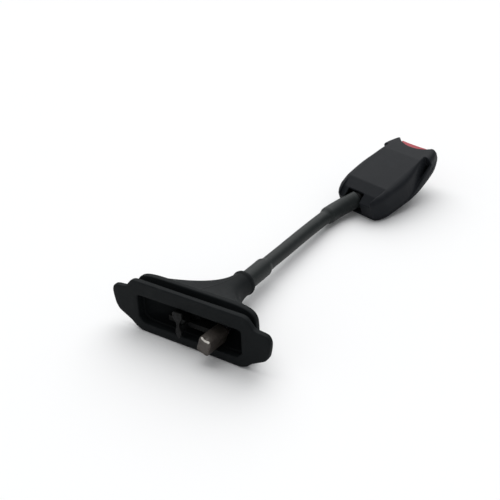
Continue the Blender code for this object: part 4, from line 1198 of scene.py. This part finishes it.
@dataclass
class Ferrule:
    """Pressed ferrule on the rope's lower end, rolled about the rope's axis, in the boot's own frame."""

    boot: Boot
    aside: float = 0.0212
    up: float = 0.0142
    roll: float = math.radians(18.7)
    half_width: float = 0.0048
    half_height: float = 0.0062
    power: float = 7.0
    proud: float = 0.0102
    back: float = 0.0098
    edge_round: float = 0.0007
    bore: float = 0.0041
    bore_edge: float = 0.0004
    bore_floor: float = 0.002
    bore_step: float = 0.0005
    front_scale: Pair = (0.02, 0.86)
    dents: Pair = (0.001, 0.0075)
    dent_width: float = 0.0016
    dent_depth: float = 0.00028
    pinch: float = 0.0011
    pinch_aside: float = 0.0003
    pinch_width: float = 0.0016
    pinch_length: float = 0.0026
    # Painted highlight along the top of the front edge: its half width, the share of the half height above
    # which it starts, its strength, and the front's scale past which it shows.
    rim_half: float = 0.0034
    rim_height: float = 0.62
    rim_rub: float = 1.3
    rim_scale: float = 0.8
    corner_from: float = 0.95
    corner_rub: float = 0.25
    columns: int = 128
    end_steps: int = 6
    side_steps: int = 38

    def mesh(self) -> bpy.types.Mesh:
        """Squared oval carried along the rope's axis, with rounded ends, pressed dents and a bored back.

        Each row has a depth, an inset from the oval at the rounded ends and a scale that closes the front.
        The dents and the pinch of the front's top are bell curves exp(-d^2) of the distance d in widths.

        Returns:
            The mesh, with the attribute "edge": a painted highlight along the top of the front edge, and wear
            on the sharpest corners.
        """
        turns, bend = full_turn(self.columns), quarter_turn(self.end_steps)
        section = superellipse(turns, self.half_width, self.half_height, self.power)
        soft, flat = self.edge_round, np.zeros(self.end_steps)
        side = np.linspace(soft - self.proud, self.back - soft, self.side_steps + 2)[1:-1]
        bored = np.array([self.back, self.back - self.bore_step, self.bore_floor])
        depths = np.concatenate([flat - self.proud, soft * (1.0 - np.cos(bend)) - self.proud, side,
                                 self.back - soft * (1.0 - np.sin(bend)), bored])
        inset = np.concatenate([flat, soft * (1.0 - np.sin(bend)), 0.0 * side, soft * (1.0 - np.cos(bend)),
                                0.0 * bored])
        scale = np.concatenate([np.linspace(*self.front_scale, self.end_steps),
                                np.ones(len(depths) - self.end_steps)])
        radii = scale[:, None] * (section[None, :] - inset[:, None])
        dent = sum(np.exp(-((depths - place) / self.dent_width) ** 2) for place in self.dents)
        radii = radii - self.dent_depth * (dent * (scale == 1.0))[:, None] * np.cos(turns) ** 4
        radii[-3:] = np.array([self.bore + self.bore_edge, self.bore, self.bore])[:, None]
        x, z = radii * np.cos(turns), radii * np.sin(turns)
        front = depths[:, None] + self.proud
        nip = np.exp(-((x + self.pinch_aside) / self.pinch_width) ** 2 - (front / self.pinch_length) ** 2)
        z = z - self.pinch * nip * np.clip(z / self.half_height, 0.0, 1.0) ** 2
        cos_roll, sin_roll = math.cos(self.roll), math.sin(self.roll)
        points = np.stack([self.aside + x * cos_roll + z * sin_roll, depths[:, None] + 0.0 * x,
                           self.up - x * sin_roll + z * cos_roll], axis=-1)
        # Painted highlight: the top of the front edge gets a high edge value, so the pale rubbed colour lights
        # it; the corners get a lower edge value for wear.
        high = z > self.rim_height * self.half_height
        painted_highlight_mask = np.exp(-(front / soft) ** 2) * high * (np.abs(x) < self.rim_half)
        corner = np.abs(np.sin(2.0 * turns)) > self.corner_from
        # Edge value: painted highlight on the top front edge plus wear on the corners.
        rubbed = self.rim_rub * painted_highlight_mask * (scale[:, None] > self.rim_scale) + self.corner_rub * corner
        return grid_mesh("anchor_ferrule_pressed", self.boot.in_row_frame(points), False, {"edge": rubbed})

    def build(self, maker: Maker, steel: bpy.types.Material) -> None:
        """Adds the ferrule."""
        maker.piece("anchor_ferrule_pressed", self.mesh(), steel, Body.CASING, "anchor_ferrule")


# Stalk


@dataclass
class Stalk:
    """Wire rope and its shrunk sleeve along the route from the ferrule to the head."""

    boot: Boot
    ferrule: Ferrule
    head_aside: float = 0.0141
    head_ahead: float = 0.2064
    head_pitch: float = math.radians(14.4)
    heel: float = 0.0050
    rivet_ahead: float = 0.0185
    eye_turn: float = math.radians(-15.0)
    axis_up: float = 0.0118
    barrel_to_rivet: float = 0.0105
    crimp_to_rivet: float = 0.0445
    sleeve_to_rivet: float = 0.0131
    straight: float = 0.0181
    rise: float = 0.0010
    course: Tuple[Triple, ...] = ((0.18, 0.0011, 0.0007), (0.47, 0.0025, 0.0010), (0.78, 0.0031, 0.0008))
    rope_in_ferrule: float = 0.0130
    rope_past_ferrule: float = 0.001
    lead: Triple = (0.0022, -0.017, -0.0008)
    lead_end: float = 0.001
    route_points: int = 900
    sight_reach: float = 0.0008
    rope_radius: float = 0.0038
    rope_shape: Tuple[int, int] = (260, 96)
    rope_start: float = 0.0003
    rope_in_sleeve: float = 0.012
    strands: int = 6
    lay: float = 0.034
    strand_floor: float = 0.80
    strand_rise: float = 0.19
    wires: float = 3.0
    wire_turns: float = 5.0
    wire_relief: float = 0.00006
    sleeve_shape: Tuple[int, int] = (420, 80)
    thin_radius: float = 0.0055
    wide_radius: float = 0.0070
    step_length: float = 0.0060
    lower_crimp: float = 0.0350
    sleeve_in_boot: float = 0.0120
    sleeve_end: float = 0.0009
    sleeve_drop: float = 0.0008
    ripple_height: float = 0.000035
    ripple_pitch: float = 2100.0
    ripple_twist: float = 90.0
    ripple_lobes: float = 2.0
    swell_height: float = 0.00003
    swell_pitch: float = 150.0
    swell_lean: float = 1.3
    fine: np.ndarray = field(init=False)
    run: np.ndarray = field(init=False)
    neck_run: float = field(init=False)

    def __post_init__(self) -> None:
        """Works out the centre line."""
        self.fine, self.run, self.neck_run = self.route()

    def head_matrix(self) -> Matrix:
        """Turns the head's own frame into the row frame.

        Returns:
            The matrix that places and pitches the head.
        """
        span = Matrix.Rotation(self.boot.turn, 4, "Z") @ Vector((self.head_aside, self.head_ahead, 0.0))
        place = Vector(self.boot.settle) + Vector((span.x, span.y, -self.heel * math.sin(self.head_pitch)))
        return Matrix.Translation(place) @ Matrix.Rotation(self.head_pitch, 4, "X")

    def route(self) -> Tuple[np.ndarray, np.ndarray, float]:
        """Natural cubic spline through the route's points, with its running length.

        Returns:
            Fine points along the centre line, the distance of each from the start, and the distance of the
            boot's end.
        """
        boot, neck = self.boot.matrix(), self.boot.neck
        middle, aside = self.boot.neck_height, self.boot.neck_aside
        eye = (self.head_matrix() @ Matrix.Translation((0.0, self.rivet_ahead, 0.0))
               @ Matrix.Rotation(self.eye_turn, 4, "Z"))
        near = [boot @ Vector((self.ferrule.aside, self.ferrule.back + ahead, self.ferrule.up))
                for ahead in (-self.rope_in_ferrule, -0.5 * self.rope_in_ferrule, self.rope_past_ferrule)]
        side, back, drop = self.lead
        near += [boot @ Vector((aside + side, neck + back, middle + drop)),
                 boot @ Vector((aside, neck - self.lead_end, middle)),
                 boot @ Vector((aside, self.boot.end, middle))]
        far = [eye @ Vector((0.0, -self.barrel_to_rivet - self.straight, self.axis_up + self.rise)),
               eye @ Vector((0.0, -self.barrel_to_rivet, self.axis_up))]
        left = Vector((0.0, 0.0, 1.0)).cross(far[0] - near[-1]).normalized()
        between = [near[-1].lerp(far[0], share) + left * bow - Vector((0.0, 0.0, sag))
                   for share, bow, sag in self.course]
        points = np.array([tuple(point) for point in near + between + far])
        knots = self.running_length(points)
        fine = self.natural_spline(knots, points, np.linspace(0.0, knots[-1], self.route_points))
        run = self.running_length(fine)
        nearest = np.argmin(np.linalg.norm(fine - np.array(tuple(near[-1])), axis=1))
        return fine, run, float(run[nearest])

    @staticmethod
    def running_length(points: np.ndarray) -> np.ndarray:
        """Distance of each point from the first, along the straight lines between them."""
        return np.concatenate([[0.0], np.cumsum(np.linalg.norm(np.diff(points, axis=0), axis=1))])

    @staticmethod
    def natural_spline(knots: np.ndarray, values: np.ndarray, at: np.ndarray) -> np.ndarray:
        """Cubic pieces with equal slope and bend where they meet and no bend at the ends.

        Args:
            knots: distances of the given points.
            values: the given points.
            at: distances asked for.

        Returns:
            One point per distance asked for.
        """
        step = np.diff(knots)
        slope = np.diff(values, axis=0) / step[:, None]
        system = np.eye(len(knots))
        rows = np.arange(1, len(knots) - 1)
        system[rows, rows - 1] = step[:-1]
        system[rows, rows] = 2.0 * (step[:-1] + step[1:])
        system[rows, rows + 1] = step[1:]
        right = np.zeros_like(values)
        right[1:-1] = 6.0 * np.diff(slope, axis=0)
        bend = np.linalg.solve(system, right)
        k = np.clip(np.searchsorted(knots, at, side="right") - 1, 0, len(knots) - 2)
        near, far, width = (at - knots[k])[:, None], (knots[k + 1] - at)[:, None], step[k][:, None]
        curve = (bend[k] * far ** 3 + bend[k + 1] * near ** 3) / (6.0 * width)
        curve += (values[k] / width - bend[k] * width / 6.0) * far
        return curve + (values[k + 1] / width - bend[k + 1] * width / 6.0) * near

    def at(self, distances: np.ndarray) -> np.ndarray:
        """Points of the centre line at distances along it, and at its ends for those beyond them."""
        return np.stack([np.interp(distances, self.run, self.fine[:, k]) for k in range(3)], axis=1)

    def tube(self, name: str, stations: np.ndarray, radii: np.ndarray) -> bpy.types.Mesh:
        """Round surface: centre(s) + radius(s, angle) across the route, with even frames.

        Args:
            name: name of the mesh.
            stations: distances along the route.
            radii: radius by station and angle.

        Returns:
            The tube with closed ends and the attributes "along" and "around".
        """
        ahead = self.at(stations + self.sight_reach) - self.at(stations - self.sight_reach)
        ahead /= np.linalg.norm(ahead, axis=1)[:, None]
        across = np.cross(ahead, (0.0, 0.0, 1.0))
        across /= np.linalg.norm(across, axis=1)[:, None]
        upward = np.cross(across, ahead)
        turns = full_turn(radii.shape[1])
        points = self.at(stations)[:, None] + radii[..., None] * (
            np.cos(turns)[None, :, None] * across[:, None] + np.sin(turns)[None, :, None] * upward[:, None])
        none = np.zeros_like(radii)
        values = {"along": stations[:, None] + none, "around": np.sin(turns) + none, "edge": none}
        return grid_mesh(name, points, False, values)

    def sleeve(self) -> bpy.types.Mesh:
        """Shrunk sleeve: thin over the rope, wide over both crimps, with eased steps and faint ripples.

        Returns:
            The sleeve's tube.
        """
        rivet = float(self.run[-1]) + self.barrel_to_rivet
        start, end = self.neck_run - self.sleeve_in_boot, rivet - self.sleeve_to_rivet
        lower, upper = start + self.lower_crimp, rivet - self.crimp_to_rivet
        rows, columns = self.sleeve_shape
        stations, turns = np.linspace(start, end, rows), full_turn(columns)
        along = stations[:, None]
        taper = 1.0 - np.minimum(stations - lower, upper - stations) / self.step_length
        radius = self.thin_radius + (self.wide_radius - self.thin_radius) * smooth_step(taper)
        near_end = np.clip(np.minimum(stations - start, end - stations) / self.sleeve_end, 0.0, 1.0)
        radius -= self.sleeve_drop * (1.0 - np.sqrt(near_end * (2.0 - near_end)))
        ripple = (np.sin(along * self.ripple_pitch)
                  * np.cos(turns * self.ripple_lobes + along * self.ripple_twist))
        fold = np.exp(-((taper - 0.5) / 0.5) ** 2)[:, None]
        swell = np.sin(along * self.swell_pitch + np.cos(turns) * self.swell_lean)
        radii = radius[:, None] + self.ripple_height * ripple * fold + self.swell_height * (swell - 1.0)
        return self.tube("cable_sleeve_shrunk", stations, radii)

    def rope(self) -> bpy.types.Mesh:
        """Stranded rope: radius dips between strands, and the strands turn once per lay length.

        Returns:
            The rope's tube.
        """
        rows, columns = self.rope_shape
        end = self.neck_run - self.sleeve_in_boot + self.rope_in_sleeve
        stations = np.linspace(self.rope_start, end, rows)
        lay_turns = 2.0 * np.pi * stations[:, None] / self.lay
        phase = self.strands * (full_turn(columns)[None, :] - lay_turns)
        wires = 0.5 + 0.5 * np.cos(self.wires * phase + self.wire_turns * lay_turns)
        strand = np.sqrt(np.abs(np.sin(0.5 * phase)))
        radii = (self.rope_radius * (self.strand_floor + self.strand_rise * strand)
                 - self.wire_relief * wires)
        return self.tube("wire_rope_strands", stations, radii)

    def build(self, maker: Maker, sleeve: bpy.types.Material, steel: bpy.types.Material) -> None:
        """Adds the sleeve and the rope."""
        maker.piece("cable_sleeve_shrunk", self.sleeve(), sleeve, Body.CASING, "cable_sleeve")
        maker.piece("wire_rope_strands", self.rope(), steel, Body.CASING, "wire_rope")


# Buckle head and anchor plate


@dataclass
class AnchorPlate:
    """Black anchor plate in the boot's mouth."""

    soft: Softener = Softener(0.0004, 6)

    def build(self, maker: Maker, finish: bpy.types.Material) -> None:
        """Softens the plate."""
        maker.soften("anchor_plate", self.soft, finish, Body.CASING)


@dataclass
class Head:
    """Covers, button and works of the buckle head."""

    soft_cover: Softener = Softener(0.00045, 14)
    soft_button: Softener = Softener(0.0003, 8)

    def build(self, maker: Maker, finishes: Dict[str, bpy.types.Material]) -> None:
        """Softens the covers and the button, and dresses the works.

        Args:
            maker: makes the pieces.
            finishes: materials by name.
        """
        for node in ("upper_cover", "lower_cover"):
            maker.soften(node, self.soft_cover, finishes["cover"], Body.CASING)
        maker.soften("release_button", self.soft_button, finishes["button"], Body.BUTTON)
        for node in ("frame", "lock_slide", "latch_plate", "latch_pin", "lower_crimp"):
            maker.dress(node, finishes["steel"])
        for node in ("rope_eye", "frame_rivet"):
            maker.dress(node, finishes["black_steel"])
        maker.dress("latch_spring", finishes["wire"])
        maker.dress("ejector", finishes["ejector"])


# Springs


@dataclass
class Springs:
    """Coil springs, copied from the CAD nodes."""

    along: Triple = (0.0, 0.96858, 0.24869)
    button_travel: float = 0.006
    ejector_travel: float = 0.011

    def add(self, maker: Maker, node: str, joint: str, travel: float, finish: bpy.types.Material) -> None:
        """Adds one coil, a copy of the CAD node's mesh.

        Args:
            maker: makes the piece.
            node: the CAD node of the spring.
            joint: not used.
            travel: not used.
            finish: material of the wire.
        """
        mesh = merged_copy(maker.frame["nodes"][node])
        points, axis = point_vectors(mesh, "co"), np.array(self.along)
        coil = maker.piece(node + "_coil", mesh, finish, Body.CASING, node)
        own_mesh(coil)

    def build(self, maker: Maker, finish: bpy.types.Material) -> None:
        """Adds the three coils.

        Args:
            maker: makes the pieces.
            finish: material of the wire.
        """
        for node in ("button_spring_left", "button_spring_right"):
            self.add(maker, node, "button_push", self.button_travel, finish)
        self.add(maker, "ejector_spring", "ejector_run", self.ejector_travel, finish)


# Studio


@dataclass
class Studio:
    """Pale floor, soft lights, bright surroundings and the camera at the photograph's angle."""

    eye: Triple = (0.42076, -0.37915, 0.3738)
    yaw: float = math.radians(53.67)
    pitch: float = math.radians(-31.87)
    roll: float = math.radians(-6.59)
    lens: float = 64.94
    sensor: float = 36.0
    sight: Tuple[float, float] = (0.01, 50.0)
    floor_reach: float = 6.0
    floor_colour: Colour = (0.93, 0.93, 0.93)
    floor_roughness: float = 0.75
    floor_gloss: float = 0.2
    seen_colour: Colour = (1.0, 1.0, 1.0)
    ambient_colour: Colour = (0.97, 0.985, 1.0)
    ambient: float = 0.42
    sun_from: Triple = (-0.36, 0.42, 0.83)
    sun_angle: float = math.radians(80.0)
    sun_power: float = 2.5

    def camera(self) -> None:
        """Camera whose right and up axes are rolled about its line of sight."""
        ahead = Vector((-math.sin(self.yaw) * math.cos(self.pitch), math.cos(self.yaw) * math.cos(self.pitch),
                        math.sin(self.pitch)))
        level = ahead.cross(Vector((0.0, 0.0, 1.0))).normalized()
        upright = level.cross(ahead)
        right = level * math.cos(self.roll) + upright * math.sin(self.roll)
        up = upright * math.cos(self.roll) - level * math.sin(self.roll)
        data = bpy.data.cameras.new("photo_camera")
        data.lens = self.lens
        data.sensor_width = self.sensor
        data.clip_start, data.clip_end = self.sight
        camera = placed("photo_camera", data)
        turn = Matrix((right, up, -ahead)).transposed()
        camera.matrix_world = Matrix.Translation(Vector(self.eye)) @ turn.to_4x4()
        bpy.context.scene.camera = camera

    def floor(self) -> None:
        """Pale table that looks white to the camera away from the shadows."""
        reach = self.floor_reach
        mesh = bpy.data.meshes.new("floor")
        mesh.from_pydata([(x * reach, y * reach, 0.0) for x, y in ((-1, -1), (1, -1), (1, 1), (-1, 1))],
                         [], [(0, 1, 2, 3)])
        g = Graph(bpy.data.materials.new("pale_floor"))
        mesh.materials.append(g.finish(self.floor_colour, self.floor_roughness, self.floor_gloss))
        placed("floor", mesh)

    def world(self) -> None:
        """White surroundings for the camera and through clear parts, and softer light for everything else."""
        world = bpy.data.worlds.new("studio")
        g = Graph(world)
        direct, through = (g.node("ShaderNodeLightPath", {}, {}, ray)
                           for ray in ("Is Camera Ray", "Is Transmission Ray"))
        seen = g.node("ShaderNodeBackground", {}, {"Color": g.opaque(self.seen_colour)})
        light = g.node("ShaderNodeBackground", {}, {"Color": g.opaque(self.ambient_colour),
                                                    "Strength": self.ambient})
        mixed = g.node("ShaderNodeMixShader", {}, {0: g.math("MAXIMUM", direct, through), 1: light, 2: seen})
        g.node("ShaderNodeOutputWorld", {}, {"Surface": mixed})
        bpy.context.scene.world = world

    def sky_light(self) -> None:
        """Broad soft light from beyond the head's left, even over the whole table."""
        data = bpy.data.lights.new("soft_sky", "SUN")
        data.angle = self.sun_angle
        data.energy = self.sun_power
        lamp = placed("soft_sky", data)
        lamp.rotation_mode = "QUATERNION"
        lamp.rotation_quaternion = (-Vector(self.sun_from)).to_track_quat("-Z", "Y")

    def build(self) -> None:
        """Sets up the camera, the floor, the surroundings and the lights."""
        self.camera()
        self.floor()
        self.world()
        self.sky_light()
        bpy.context.scene.view_settings.view_transform = "Standard"


def main() -> None:
    """Builds every sub-assembly on the loaded frame."""
    logging.basicConfig(level=logging.INFO, format="%(message)s")
    maker = Maker(frame)
    finishes = FinishSet().build()
    boot = Boot()
    ferrule = Ferrule(boot)
    boot.build(maker, finishes["boot"])
    Stalk(boot, ferrule).build(maker, finishes["sleeve"], finishes["wire"])
    ferrule.build(maker, finishes["ferrule"])
    AnchorPlate().build(maker, finishes["black_steel"])
    Head().build(maker, finishes)
    Springs().build(maker, finishes["wire"])
    Studio().build()


if __name__ == "__main__":
    main()
